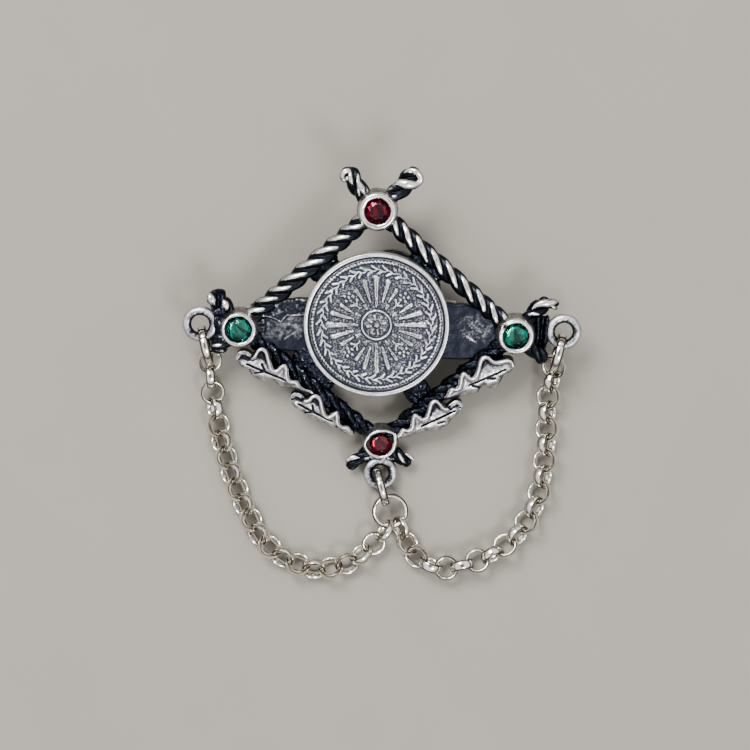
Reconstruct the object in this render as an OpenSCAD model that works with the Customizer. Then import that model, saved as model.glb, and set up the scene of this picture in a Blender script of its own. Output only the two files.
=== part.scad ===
// Coin lapel pin: a coin on a diamond frame of four twisted rods, with four set stones,
// four oak leaves, three eyes with jump rings and two chain swags. Millimetres.
// The pin lies face up, as it does when put down: it leans on the fitting at its back,
// with its top edge raised and the bottom eye over its jump ring. +Y points to the top
// of the brooch, +Z is up, and the origin is the middle of the bottom of the whole box.

/* [Coin] */
// Diameter of the coin
coin_d = 20; // [19:0.1:20.2]
// Thickness of the coin over its rim
coin_t = 1.9; // [1.5:0.1:2.4]
// Height of the raised design above the coin's field
relief_h = 0.25; // [0.15:0.05:0.4]

/* [Frame] */
// Diameter of a twisted rod over its strands
rod_d = 2.4; // [2.2:0.1:2.6]
// Depth of the groove between two strands
strand_groove = 0.48; // [0.4:0.02:0.56]
// Length of rod in which a strand goes round once
rod_pitch = 8.1; // [7.5:0.1:8.7]
// Thickness of the textured band behind the coin
band_t = 1.4; // [1.2:0.1:1.7]
// Height of the coin's round seat above the back of the frame
seat_h = 1.9; // [1.7:0.1:2.2]
// Width of a leaf, which its lobed edge is drawn from
leaf_w = 2.1; // [1.8:0.1:2.2]
// Height of a leaf's raised edge above the back of the frame
leaf_h = 3.3; // [3:0.1:3.4]

/* [Stones and their cups] */
// Diameter of the upper three stones
stone_d = 3.4; // [3.2:0.05:3.5]
// Diameter of the bottom stone
small_stone_d = 2.9; // [2.8:0.05:3]
// Space round a stone in its cup
stone_gap = 0.06; // [0.04:0.01:0.1]

/* [Eyes and jump rings] */
// Outer diameter of an eye
eye_d = 4.6; // [4.4:0.1:4.7]
// Thickness of an eye's round wire
eye_wire = 0.95; // [0.85:0.05:1]
// Outer diameter of the jump rings in the eyes
jump_d = 5.5; // [5.4:0.05:5.6]
// Thickness of a jump ring's wire
jump_wire = 0.8; // [0.75:0.01:0.82]
// Outer diameter of the ring that joins the two chains
centre_d = 5.2; // [5.1:0.05:5.25]
// Thickness of that ring's wire
centre_wire = 0.6; // [0.5:0.05:0.65]

/* [Chains] */
// Outer diameter of a chain link
link_d = 3.56; // [3.5:0.02:3.6]
// Thickness of a link's band, across the link
link_t = 0.46; // [0.42:0.01:0.48]
// Width of a link's band, along the link's axis
link_w = 0.9; // [0.84:0.01:0.92]
// Distance between two links' centres in the left chain, which is drawn almost tight
left_pitch = 2.34; // [2.33:0.01:2.35]
// Distance between two links' centres in the right chain, which lies slacker
right_pitch = 2.25; // [2.24:0.01:2.26]
// Number of links in each chain
links = 21; // [21]

/* [Pin fitting] */
// Depth of the fitting behind the frame
fitting_depth = 4.95; // [4.9:0.05:5]
// Length of the fitting's plate
fitting_l = 22; // [20:0.5:23]
// Diameter of the pin's stem
stem_d = 0.9; // [0.8:0.05:1]

/* [Hidden] */
$fn = 64;

// How far the brooch leans back, in degrees
lean = 12;
// Where the coin's axis stands in the lying brooch
place = [-0.8, 8.2];
// How far the fitting stands above the coin's axis, the radius and width of its two feet,
// and the width and thickness of its plate
fitting_y = 0.8;
fitting_r = 1.4;
plate_w = 3.6;
plate_t = 0.8;
foot_w = 2.2;
// Height of the frame's back plane over the ground at the coin's axis
seat_z = (fitting_depth - fitting_r) * cos(lean) + fitting_r - fitting_y * sin(lean);

// Corners of the diamond, each with its stone cup.
// Columns: x, y, radius at the rim, rim height, stone diameter, stone height, stone's y shift
TOP = 0;
LEFT = 1;
BOTTOM = 2;
RIGHT = 3;
CORNERS = [
    [0.15, 15.65, 2.6, 3.8, stone_d, 3.3, 0],
    [-18.9, -0.7, 2.35, 3.8, stone_d, 3.3, 0],
    [0.55, -16.95, 2.25, 3.4, small_stone_d, 2.9, -0.15],
    [19.2, -1.6, 2.45, 3.8, stone_d, 3.3, 0],
];
// Hole under each stone as a part of the stone's diameter, and the depth left solid below it
ledge_part = 0.41;
cup_floor = 0.8;
cup_flare = 0.12;
cup_edge = 0.2;
// Proportions of a cut stone, as parts of its diameter
crown_part = 0.13;
table_part = 0.29;
girdle_part = 0.04;
foot_part = 0.38;

// Twisted rods. Columns: from corner, to corner, overrun at the first, overrun at the second
RODS = [
    [LEFT, TOP, 4.0, 6.0],
    [RIGHT, TOP, 4.8, 5.5],
    [LEFT, BOTTOM, 4.6, 4.3],
    [RIGHT, BOTTOM, 5.8, 4.9],
];
strands = 3;
rod_z = rod_d / 2;
rod_steps = 12;

// Eyes. Columns: x, y, the corner that carries it, width of the metal between them
EYE_LEFT = 0;
EYE_RIGHT = 1;
EYE_BOTTOM = 2;
EYES = [
    [-24.3, -0.2, LEFT, 4.4],
    [25.9, -1.3, RIGHT, 4.6],
    [0.55, -21.45, BOTTOM, 2.6],
];
eye_z = 1.6;
eye_r = (eye_d - eye_wire) / 2;
mass_h = 2;
mass_z = 0.2;

// Oak leaves. Columns: tip x, tip y, stem end x, stem end y
LEAVES = [
    [-19.1, -5.2, -8.7, -10.1],
    [-11.9, -10.8, -3.1, -15.85],
    [18.9, -6, 9.4, -10.6],
    [11.8, -12, 3.1, -16.3],
];
// Section of a leaf, from its outer edge to its lobed inner edge.
// Columns: place across (-1 outer edge, 0 midrib, 1 inner edge), height as a part of leaf_h
LEAF_SECTION = [
    [-1, 0.4],
    [-0.5, 0.66],
    [-0.12, 0.84],
    [0, 0.72],
    [0.12, 0.82],
    [0.62, 0.79],
    [0.86, 1],
    [1, 0.95],
];
// Edges of a leaf from its tip to its stem: three lobes inside, two shallow ones outside.
// Columns: part of the leaf's length, inner edge and outer edge as parts of leaf_w
LEAF_EDGE = [
    [0, 0.43, 0.1],
    [0.03, 0.71, 0.2],
    [0.09, 0.83, 0.34],
    [0.15, 0.71, 0.45],
    [0.19, 1.19, 0.51],
    [0.24, 1.45, 0.58],
    [0.32, 1.4, 0.7],
    [0.38, 1.05, 0.74],
    [0.44, 0.67, 0.5],
    [0.5, 0.48, 0.5],
    [0.55, 0.86, 0.52],
    [0.59, 1.1, 0.5],
    [0.65, 0.95, 0.45],
    [0.7, 0.57, 0.4],
    [0.76, 0.29, 0.33],
    [0.81, 0.52, 0.28],
    [0.86, 0.45, 0.25],
    [0.92, 0.24, 0.2],
    [1, 0.17, 0.14],
];
leaf_foot = 0.5;
// How much lower a leaf's top is at its stem than at its tip
leaf_fall = 0.06;

// Edges of the textured band, from left to right. Columns: x, top y, bottom y
BAND = [
    [-17.4, 2.4, -3.4],
    [-12, 3.2, -4.2],
    [0, 3.2, -4.6],
    [12, 2.4, -5.4],
    [17.6, 1.4, -5],
];
// Webs of metal between the coin's seat and the rods.
// Columns: direction from the coin's axis, inner radius, outer radius, width
WEBS = [
    [134, 9, 11.6, 4.2],
    [48, 9, 11.6, 5],
    [217, 9, 12.2, 6.2],
    [300, 9, 13, 3.2],
];
web_h = 1.5;
seat_d = coin_d + 0.6;

// Thin space between the seat and the coin, and how deep the relief runs into the field
coin_gap = 0.05;
overlap = 0.05;
coin_z = seat_h + coin_gap;

// Rings of the coin's design. Each row holds: count, radius, length outwards, width
BARS = [24, 7.65, 1.15, 0.45];
BEADS = [60, 8.75, 0.36, 0.36];
PLUMES = [20, 4.9, 2.5, 0.62];
SHORT_PLUMES = [20, 6.1, 0.9, 0.4];
PETALS = [12, 3.05, 1, 0.7];
rim_w = 0.62;
groove_w = 0.4;
rim_edge = 0.2;
groove_dip = 0.1;
// The middle of the coin: a round medallion with a lattice of crossed bars
medal_r = 2.3;
medal_edge = 0.3;
lattice_step = 0.85;
lattice_bar = 0.28;

// Jump rings. Columns: eye, heading seen from above, slope below level from the eye's wire,
// distance from the eye's wire to the ring's centre
RING_LEFT = [EYE_LEFT, -77, 15, 1.33];
RING_RIGHT = [EYE_RIGHT, -105, 15, 1.33];
// The bottom ring stands on its edge round the bottom eye's wire
bottom_ring_heading = -75;
bottom_ring_at = [-0.1, -15.04, jump_d / 2];
// The centre ring hangs in the bottom ring. It leans this much towards the chains' ends
centre_ring_at = [1.11, -18.45, 1.78];
centre_ring_heading = -73;
centre_ring_slope = 12;

// Chains are laid link by link. Each table is read between its rows with lookup().
// Columns: link number, value
LEFT_START = [-24.01, 2.59];
LEFT_HEADING = [[1.5, -88], [3.5, -82], [7.5, -72], [11.5, -62], [13.5, -37], [15.5, -15],
    [17.5, 18], [19.5, 43], [20.5, 46], [21, 57]];
LEFT_HEIGHT = [[0, 4.8], [1, 3.54], [2, 2.6], [3, 2], [4, 1.75], [7, 1.64],
    [18, 1.69], [20, 1.72], [21, 1.83]];
LEFT_TURN = [[1, 20], [2, 43], [6, 0], [17, 0], [20, -28], [21, -28]];
RIGHT_START = [23.94, 1.79];
RIGHT_HEADING = [[1.5, -95], [2.5, -101], [4.5, -90], [8.5, -101], [11.5, -126], [14.5, -157],
    [16.5, -171], [17.5, -191], [18.5, -213], [19.5, -234], [20.5, -247],
    [21, -251]];
RIGHT_HEIGHT = [[0, 4.8], [1, 3.32], [2, 2.45], [3, 1.95], [4, 1.85], [20, 1.85],
    [21, 1.7]];
RIGHT_TURN = [[1, -20], [5, -12], [12, -12], [17, -45], [18, -56], [21, -108]];

// Places a point of the brooch's own frame in the lying brooch
function seated(p) = [
    place.x + p.x,
    place.y + p.y * cos(lean) - p.z * sin(lean),
    seat_z + p.y * sin(lean) + p.z * cos(lean),
];

function heading(h) = [cos(h), sin(h), 0];

// Middle of an eye's wire on the side that the ring hangs from
function eye_rim(eye, h) = seated([
    EYES[eye].x + eye_r * cos(h),
    EYES[eye].y + eye_r * sin(h),
    eye_z,
]);

function jump_at(row) = eye_rim(row[0], row[1])
    + row[3] * (cos(row[2]) * heading(row[1]) - [0, 0, sin(row[2])]);

// Level length of the step from link i to the next one, whose heights differ
function step_length(rise, pitch, i) =
    sqrt(pow(pitch, 2) - pow(lookup(i + 1, rise) - lookup(i, rise), 2));

function link_xy(start, route, rise, pitch, i) = i == 1
    ? start
    : link_xy(start, route, rise, pitch, i - 1) + step_length(rise, pitch, i - 1)
        * [cos(lookup(i - 0.5, route)), sin(lookup(i - 0.5, route))];

// Downward slope of the chain at link i
function link_slope(rise, pitch, i) = asin((lookup(i - 0.5, rise) - lookup(i + 0.5, rise)) / pitch);

// Moves the brooch's own frame to where the pin lies
module lying() {
    translate([place.x, place.y, seat_z]) rotate([lean, 0, 0]) children();
}

module round_wire_ring(outer_d, wire) {
    rotate_extrude() translate([(outer_d - wire) / 2, 0]) circle(d = wire, $fn = 32);
}

module strand_section() {
    points = [for (i = [0 : 3 * strands - 1])
        let (r = i % 3 == 0 ? rod_d / 2 - strand_groove : rod_d / 2)
        let (a = 360 / strands * (floor(i / 3) + [0, 0.36, 0.64][i % 3]))
        [r * cos(a), r * sin(a)]];
    polygon(points);
}

module twisted_rod(length) {
    linear_extrude(height = length, twist = -360 * length / rod_pitch,
        slices = ceil(rod_steps * length / rod_pitch), $fn = 3 * strands) strand_section();
}

// A rod through two corners that runs on past both, with rounded tips
module rod(row) {
    a = [CORNERS[row[0]].x, CORNERS[row[0]].y];
    b = [CORNERS[row[1]].x, CORNERS[row[1]].y];
    turn = atan2(b.y - a.y, b.x - a.x);
    length = norm(b - a) + row[2] + row[3];
    translate([a.x, a.y, rod_z]) rotate([0, 0, turn]) translate([-row[2], 0, 0]) {
        rotate([0, 90, 0]) twisted_rod(length);
        for (x = [0, length]) translate([x, 0, 0]) sphere(d = 0.96 * rod_d, $fn = 32);
    }
}

// Place across the leaf of a section's point, on the edges of one row of LEAF_EDGE
function leaf_across(c, edge) = c * leaf_w * (c < 0 ? edge[2] : edge[1]);

// One closed section of the leaf: its top from LEAF_SECTION, with a flat underside
function leaf_ring(edge, length) = concat(
    [for (c = LEAF_SECTION)
        [edge[0] * length, leaf_across(c[0], edge), leaf_h * c[1] * (1 - leaf_fall * edge[0])]],
    [for (i = [len(LEAF_SECTION) - 1 : -1 : 0])
        [edge[0] * length, leaf_across(LEAF_SECTION[i][0], edge), leaf_foot]]);

// A leaf along +X from its tip to its stem, lobed towards +Y
module leaf(length) {
    m = len(LEAF_SECTION);
    n = 2 * m;
    last = len(LEAF_EDGE) - 1;
    points = [for (edge = LEAF_EDGE) each leaf_ring(edge, length)];
    sides = [for (i = [0 : last - 1]) for (j = [0 : n - 1])
        let (a = i * n + j)
        let (b = i * n + (j + 1) % n)
        each [[a, b, b + n], [a, b + n, a + n]]];
    tip = [for (j = [0 : m - 2]) [n - 1 - j, n - 2 - j, j + 1, j]];
    stem = [for (face = tip) [for (k = [3 : -1 : 0]) last * n + face[k]]];
    polyhedron(points = points, faces = concat(sides, tip, stem), convexity = 4);
}

module placed_leaf(row) {
    along = [row[2] - row[0], row[3] - row[1]];
    translate([row[0], row[1], 0]) rotate([0, 0, atan2(along.y, along.x)])
        mirror([0, along.x < 0 ? 1 : 0, 0]) leaf(norm(along));
}

// Round cup of one stone, wider at its foot, with a rounded rim
module cup(row) {
    r = row[2];
    h = row[3];
    translate([row.x, row.y, 0]) rotate_extrude() polygon([
        [0, 0],
        [r + cup_flare, 0],
        [r + cup_flare, h - 1.2],
        [r, h - 1.5 * cup_edge],
        [r - cup_edge, h],
        [0, h],
    ]);
}

// The stone's place in its cup: a straight bore, and below it a narrower hole whose edge
// stands just clear of the stone's sloping underside
module cup_bore(row) {
    d = row[4];
    girdle_foot = row[5] - (crown_part + girdle_part) * d;
    ledge = girdle_foot - foot_part * d * (1 - 2 * ledge_part) - stone_gap;
    translate([row.x, row.y + row[6], 0]) {
        translate([0, 0, ledge]) cylinder(r = d / 2 + stone_gap, h = row[3]);
        translate([0, 0, cup_floor]) cylinder(r = ledge_part * d, h = row[3]);
    }
}

module eye(row) {
    translate([row.x, row.y, eye_z]) round_wire_ring(eye_d, eye_wire);
}

// Metal between an eye and the cup that carries it
module link_mass(row) {
    corner = CORNERS[row[2]];
    away = [row.x - corner.x, row.y - corner.y];
    reach = norm(away) - eye_r;
    translate([corner.x, corner.y, 0]) rotate([0, 0, atan2(away.y, away.x)])
        translate([0, -row[3] / 2, mass_z]) cube([reach, row[3], mass_h]);
}

module band() {
    n = len(BAND);
    linear_extrude(height = band_t) polygon(concat(
        [for (i = [0 : n - 1]) [BAND[i][0], BAND[i][1]]],
        [for (i = [n - 1 : -1 : 0]) [BAND[i][0], BAND[i][2]]]));
}

module web(row) {
    rotate([0, 0, row[0]]) translate([row[1], -row[3] / 2, 0])
        cube([row[2] - row[1], row[3], web_h]);
}

module frame() {
    color("dimgray") lying() difference() {
        union() {
            for (row = RODS) rod(row);
            for (row = LEAVES) placed_leaf(row);
            for (row = CORNERS) cup(row);
            for (row = EYES) eye(row);
            for (row = EYES) link_mass(row);
            for (row = WEBS) web(row);
            band();
            cylinder(d = seat_d, h = seat_h);
        }
        for (row = CORNERS) cup_bore(row);
    }
}

// A flat bar with pointed ends, lying along X round its middle
module bar(length, width) {
    shoulder = length / 2 - width * 0.4;
    polygon([
        [length / 2, 0],
        [shoulder, width / 2],
        [-shoulder, width / 2],
        [-length / 2, 0],
        [-shoulder, -width / 2],
        [shoulder, -width / 2],
    ]);
}

// Bars round the coin. row is count, radius, length across the ring, width along it
module spoke_ring(row, first = 0) {
    for (i = [0 : row[0] - 1]) rotate([0, 0, first + 360 * i / row[0]])
        translate([row[1], 0]) bar(row[2], row[3]);
}

// Round medallion with a raised edge and a lattice inside it
module medallion() {
    inner_r = medal_r - medal_edge;
    difference() {
        circle(r = medal_r, $fn = 48);
        circle(r = inner_r, $fn = 48);
    }
    intersection() {
        circle(r = inner_r + overlap, $fn = 48);
        for (turn = [45, 135]) rotate([0, 0, turn]) for (i = [-2 : 2])
            translate([0, i * lattice_step]) square([2 * medal_r, lattice_bar], center = true);
    }
}

module coin() {
    r = coin_d / 2;
    field = coin_t - relief_h;
    color("silver") lying() translate([0, 0, coin_z]) {
        rotate_extrude() polygon([
            [0, 0],
            [r, 0],
            [r, coin_t - rim_edge],
            [r - rim_edge, coin_t],
            [r - rim_w, coin_t],
            [r - rim_w, field - groove_dip],
            [r - rim_w - groove_w, field - groove_dip],
            [r - rim_w - groove_w, field],
            [0, field],
        ]);
        translate([0, 0, field - overlap]) linear_extrude(height = relief_h + overlap) {
            spoke_ring(BARS);
            spoke_ring(PLUMES, 9);
            spoke_ring(SHORT_PLUMES);
            spoke_ring(PETALS);
            medallion();
        }
        translate([0, 0, field - overlap]) linear_extrude(height = relief_h) spoke_ring(BEADS);
    }
}

// A round cut stone: a flat table, star and kite facets, a thin girdle, a pointed foot
module cut_stone(d) {
    crown = crown_part * d;
    girdle = girdle_part * d;
    foot = foot_part * d;
    table = [for (i = [0 : 7]) [table_part * d * cos(45 * i), table_part * d * sin(45 * i), crown]];
    upper = [for (i = [0 : 15]) [d / 2 * cos(22.5 * i), d / 2 * sin(22.5 * i), 0]];
    lower = [for (p = upper) [p.x, p.y, -girdle]];
    points = concat(table, upper, lower, [[0, 0, -girdle - foot]]);
    faces = concat(
        [[7, 6, 5, 4, 3, 2, 1, 0]],
        [for (i = [0 : 7])
            let (u = 8 + 2 * i)
            let (before = 8 + (2 * i + 15) % 16)
            let (next = (i + 1) % 8)
            each [[i, u, before], [i, u + 1, u], [i, next, u + 1]]],
        [for (i = [0 : 15])
            let (u = 8 + i)
            let (v = 8 + (i + 1) % 16)
            each [[u, v, v + 16], [u, v + 16, u + 16], [u + 16, v + 16, 40]]]);
    polyhedron(points = points, faces = faces, convexity = 2);
}

module stone(row) {
    lying() translate([row.x, row.y + row[6], row[5] - crown_part * row[4]]) cut_stone(row[4]);
}

module stone_top() {
    color("darkred") stone(CORNERS[TOP]);
}

module stone_left() {
    color("seagreen") stone(CORNERS[LEFT]);
}

module stone_bottom() {
    color("darkred") stone(CORNERS[BOTTOM]);
}

module stone_right() {
    color("seagreen") stone(CORNERS[RIGHT]);
}

// Plate, hinge lug, catch and stem of the pin, made as one plain piece
module pin_back() {
    foot_x = fitting_l / 2 - foot_w * 0.75;
    stem_z = fitting_r - fitting_depth;
    color("gray") lying() translate([0, fitting_y, 0]) {
        translate([-fitting_l / 2, -plate_w / 2, -plate_t]) cube([fitting_l, plate_w, plate_t]);
        for (x = [-foot_x, foot_x]) translate([x - foot_w / 2, 0, 0]) {
            translate([0, -fitting_r, stem_z]) cube([foot_w, 2 * fitting_r, -stem_z - plate_t / 2]);
            translate([0, 0, stem_z]) rotate([0, 90, 0]) cylinder(r = fitting_r, h = foot_w);
        }
        translate([-foot_x, 0, stem_z]) rotate([0, 90, 0]) cylinder(d = stem_d, h = 2 * foot_x);
    }
}

// A jump ring that stands on its edge: its plane holds the heading and the upright
module standing_ring(centre, h, outer_d, wire) {
    translate(centre) rotate([0, 0, h]) rotate([90, 0, 0]) round_wire_ring(outer_d, wire);
}

module ring_left() {
    color("lightgray") standing_ring(jump_at(RING_LEFT), RING_LEFT[1], jump_d, jump_wire);
}

module ring_right() {
    color("lightgray") standing_ring(jump_at(RING_RIGHT), RING_RIGHT[1], jump_d, jump_wire);
}

module ring_bottom() {
    color("lightgray") standing_ring(bottom_ring_at, bottom_ring_heading, jump_d, jump_wire);
}

module ring_centre() {
    color("lightgray") translate(centre_ring_at)
        rotate([0, 0, centre_ring_heading]) rotate([0, centre_ring_slope, 0])
        round_wire_ring(centre_d, centre_wire);
}

// One chain link: a round band with eased edges, its axis along +Z
module chain_link() {
    r = link_d / 2;
    rotate_extrude() polygon([
        [r, -link_w * 0.22],
        [r, link_w * 0.22],
        [r - link_t * 0.3, link_w / 2],
        [r - link_t * 0.7, link_w / 2],
        [r - link_t, link_w * 0.22],
        [r - link_t, -link_w * 0.22],
        [r - link_t * 0.7, -link_w / 2],
        [r - link_t * 0.3, -link_w / 2],
    ]);
}

// A chain of links that turn a quarter from one to the next. first_turn is the odd links' turn
module chain(start, route, rise, turn, pitch, first_turn) {
    for (i = [1 : links]) {
        at = link_xy(start, route, rise, pitch, i);
        side = i % 2 == 1 ? first_turn : -first_turn;
        translate([at.x, at.y, lookup(i, rise)]) rotate([0, 0, lookup(i, route)])
            rotate([0, link_slope(rise, pitch, i), 0]) rotate([side + lookup(i, turn), 0, 0]) chain_link();
    }
}

module chain_left() {
    color("lightgray") chain(LEFT_START, LEFT_HEADING, LEFT_HEIGHT, LEFT_TURN, left_pitch, -45);
}

module chain_right() {
    color("lightgray") chain(RIGHT_START, RIGHT_HEADING, RIGHT_HEIGHT, RIGHT_TURN, right_pitch, 45);
}

frame();
coin();
stone_top();
stone_left();
stone_bottom();
stone_right();
pin_back();
ring_left();
ring_right();
ring_bottom();
ring_centre();
chain_left();
chain_right();
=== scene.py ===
import logging
import math
from abc import ABC, abstractmethod
from collections.abc import Sequence
from dataclasses import dataclass, field, replace
from enum import Enum
from typing import ClassVar

import bmesh
import bpy
import numpy as np
from bmesh.types import BMEdge, BMesh, BMVert
from mathutils import Matrix, Vector, noise


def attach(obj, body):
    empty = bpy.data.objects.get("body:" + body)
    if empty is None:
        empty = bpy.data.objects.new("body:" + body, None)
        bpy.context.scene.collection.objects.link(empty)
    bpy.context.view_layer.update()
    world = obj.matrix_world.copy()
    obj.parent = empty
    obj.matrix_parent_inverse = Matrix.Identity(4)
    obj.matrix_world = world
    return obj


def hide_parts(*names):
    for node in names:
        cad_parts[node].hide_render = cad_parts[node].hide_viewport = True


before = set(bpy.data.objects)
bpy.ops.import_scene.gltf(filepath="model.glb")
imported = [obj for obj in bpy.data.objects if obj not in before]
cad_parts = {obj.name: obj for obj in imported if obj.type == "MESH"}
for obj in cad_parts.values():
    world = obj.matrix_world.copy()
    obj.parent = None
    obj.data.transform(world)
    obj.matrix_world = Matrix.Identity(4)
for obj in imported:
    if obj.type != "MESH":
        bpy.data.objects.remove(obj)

log = logging.getLogger("lapel_pin")

Pair = tuple[float, float]
Triple = tuple[float, float, float]
Quad = tuple[float, float, float, float]

LEAN = math.radians(12)
SEAT = Matrix.Translation((-0.8, 8.2, 4.706)) @ Matrix.Rotation(LEAN, 4, "X")
TO_METRES = Matrix.Scale(0.001, 4)
SAME_PLACE = 2e-5
# The side, overhead and leaning north, from which the painted light on the metal falls.
LIGHT_SIDE = (0.0, 0.3, 0.954)


class Slot(Enum):
    """Material slots of the record that the new pieces stand for."""

    CAST = "cast_metal"
    COIN = "coin_metal"
    RING = "ring_metal"
    RED = "red_stone"
    GREEN = "green_stone"


class Corner(Enum):
    """Corners of the diamond, in the brooch's own frame."""

    TOP = (0.15, 15.65)
    LEFT = (-18.9, -0.7)
    BOTTOM = (0.55, -16.95)
    RIGHT = (19.2, -1.6)

    @property
    def point(self) -> Vector:
        """Gives the corner as a flat vector."""
        return Vector((self.value[0], self.value[1], 0))


def ease(low: float, high: float, x: np.ndarray | float) -> np.ndarray | float:
    """Runs smoothly from 0 at low to 1 at high.

    Args:
        low: where the result leaves 0.
        high: where the result reaches 1.
        x: one number or an array of them.

    Returns:
        The eased number or array.
    """
    t = np.clip((x - low) / (high - low), 0.0, 1.0)
    return t * t * (3 - 2 * t)


def bell(x: float, half: float) -> float:
    """Gives 1 at x = 0 and falls away on both sides, over a width set by half."""
    return math.exp(-(x / half) ** 2)


def between(table: Sequence[Pair], x: float) -> float:
    """Reads a table of (place, value) rows at x, in straight lines between its rows."""
    places, values = zip(*table)
    return float(np.interp(x, places, values))


def rough(point: Vector, size: float, seed: float = 0.0) -> float:
    """Gives smooth noise from about -1 to 1 whose lumps are about size millimetres across."""
    return noise.noise(point / size + Vector((seed, 3.1 * seed, 7.7)))


def near(point: Vector, a: Vector, b: Vector) -> float:
    """Measures from a point to the line between two others.

    Args:
        point: the point.
        a: where the line starts.
        b: where it ends.

    Returns:
        The distance.
    """
    run = b - a
    t = min(1.0, max(0.0, (point - a).dot(run) / max(run.length_squared, 1e-9)))
    return (point - a - run * t).length


def flowing(points: Sequence[Pair], count: int) -> list[Vector]:
    """Draws a smooth line through points.

    Args:
        points: the places that the line goes through.
        count: how many places come back.

    Returns:
        Places along the line, the same distance apart.
    """
    p = [Vector(q).to_3d() for q in points]
    p = [2 * p[0] - p[1], *p, 2 * p[-1] - p[-2]]
    dense: list[Vector] = []
    for a, b, c, d in zip(p, p[1:], p[2:], p[3:]):
        for k in range(12):
            t = k / 12
            dense.append(0.5 * (2 * b + (c - a) * t + (2 * a - 5 * b + 4 * c - d) * t * t
                                + (3 * b - a - 3 * c + d) * t ** 3))
    dense.append(p[-2])
    run = np.cumsum([0.0] + [(b - a).length for a, b in zip(dense, dense[1:])])
    out = []
    for s in np.linspace(0, run[-1], count):
        k = min(int(np.searchsorted(run, s, side="right")) - 1, len(dense) - 2)
        t = (s - run[k]) / max(run[k + 1] - run[k], 1e-9)
        out.append(dense[k].lerp(dense[k + 1], min(t, 1.0)))
    return out


# Mesh making


def spun(profile: Sequence[Pair], steps: int, closed: bool = False) -> BMesh:
    """Spins a profile of (radius, height) rows once round the upright axis.

    Args:
        profile: the section's corners in order.
        steps: how many flats the turn has.
        closed: whether the profile joins its own start, as a ring's section does.

    Returns:
        The spun mesh, with its doubles merged.
    """
    bm = bmesh.new()
    verts = [bm.verts.new((r, 0, z)) for r, z in profile]
    edges = [bm.edges.new(pair) for pair in zip(verts, verts[1:])]
    if closed:
        edges.append(bm.edges.new((verts[-1], verts[0])))
    bmesh.ops.spin(bm, geom=[*verts, *edges], cent=(0, 0, 0), axis=(0, 0, 1), dvec=(0, 0, 0),
                   angle=2 * math.pi, steps=steps, use_merge=True, use_duplicate=False)
    bmesh.ops.remove_doubles(bm, verts=bm.verts, dist=SAME_PLACE)
    return bm


def drawn_edge(bm: BMesh, rim: Sequence[BMEdge]) -> tuple[list[BMVert], list[BMEdge]]:
    """Doubles the open edge of a sheet, so that the copy can be drawn down as a wall.

    Args:
        bm: the sheet.
        rim: its open edge.

    Returns:
        The new vertices and the new open edge.
    """
    made = bmesh.ops.extrude_edge_only(bm, edges=rim)["geom"]
    return ([g for g in made if isinstance(g, BMVert)],
            [g for g in made if isinstance(g, BMEdge) and g.is_boundary])


def shade_layer(bm: BMesh) -> bmesh.types.BMLayerItem:
    """Gives the layer that says how bright the metal is at a vertex: bared metal against patina, and painted
    light and shade.
    """
    return bm.verts.layers.float.get("wear_and_light") or bm.verts.layers.float.new("wear_and_light")


@dataclass(frozen=True)
class PolishAndLight:
    """How the polishing wheel took the dark skin off a piece's crests, and from which side painted light
    falls on it.

    facing holds the slopes towards brush between which the painted light goes from none to full,
    so that faces turned away from brush are painted darker; brush is the side that this painted
    light comes from, curve how much a crest gains over a hollow, and passes and reach how wide and
    how tall a form the curve is measured against.
    """

    facing: Pair = (-3.0, -2.0)
    brush: Triple = LIGHT_SIDE
    curve: float = 0.0
    passes: int = 12
    reach: float = 0.05


def bake_polish_and_light(mesh: bpy.types.Mesh, rule: PolishAndLight) -> None:
    """Works out the wear attribute of a finished mesh, which is still in millimetres: crests bared of
    patina, and faces turned from the light side painted darker.

    Args:
        mesh: the mesh, whose wear attribute holds what the piece itself asked for, bared metal and painted
            light alike.
        rule: how the wheel meets it, and from which side painted light falls on it.
    """
    n = len(mesh.vertices)
    place = np.empty(3 * n)
    mesh.vertices.foreach_get("co", place)
    place = place.reshape(-1, 3)
    normal = np.empty(3 * n)
    mesh.vertex_normals.foreach_get("vector", normal)
    normal = normal.reshape(-1, 3)
    ends = np.empty(2 * len(mesh.edges), dtype=np.int32)
    mesh.edges.foreach_get("vertices", ends)
    a, b = ends[0::2], ends[1::2]
    count = np.maximum(np.bincount(ends, minlength=n), 1)
    calm = place.copy()
    for _ in range(rule.passes):
        total = np.stack([np.bincount(a, calm[b, k], n) + np.bincount(b, calm[a, k], n)
                          for k in range(3)], axis=1)
        calm = 0.5 * calm + 0.5 * total / count[:, None]
    crest = np.clip(np.einsum("ij,ij->i", place - calm, normal) / rule.reach, -1, 1)
    # Painted light: faces turned towards brush keep their brightness, and faces turned away are painted
    # darker.
    facing = ease(*rule.facing, normal @ np.array(Vector(rule.brush).normalized()))
    layer = mesh.attributes["wear_and_light"]
    asked = np.empty(n)
    layer.data.foreach_get("value", asked)
    layer.data.foreach_set("value", np.clip((asked + rule.curve * crest) * facing, 0, 1))


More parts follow.
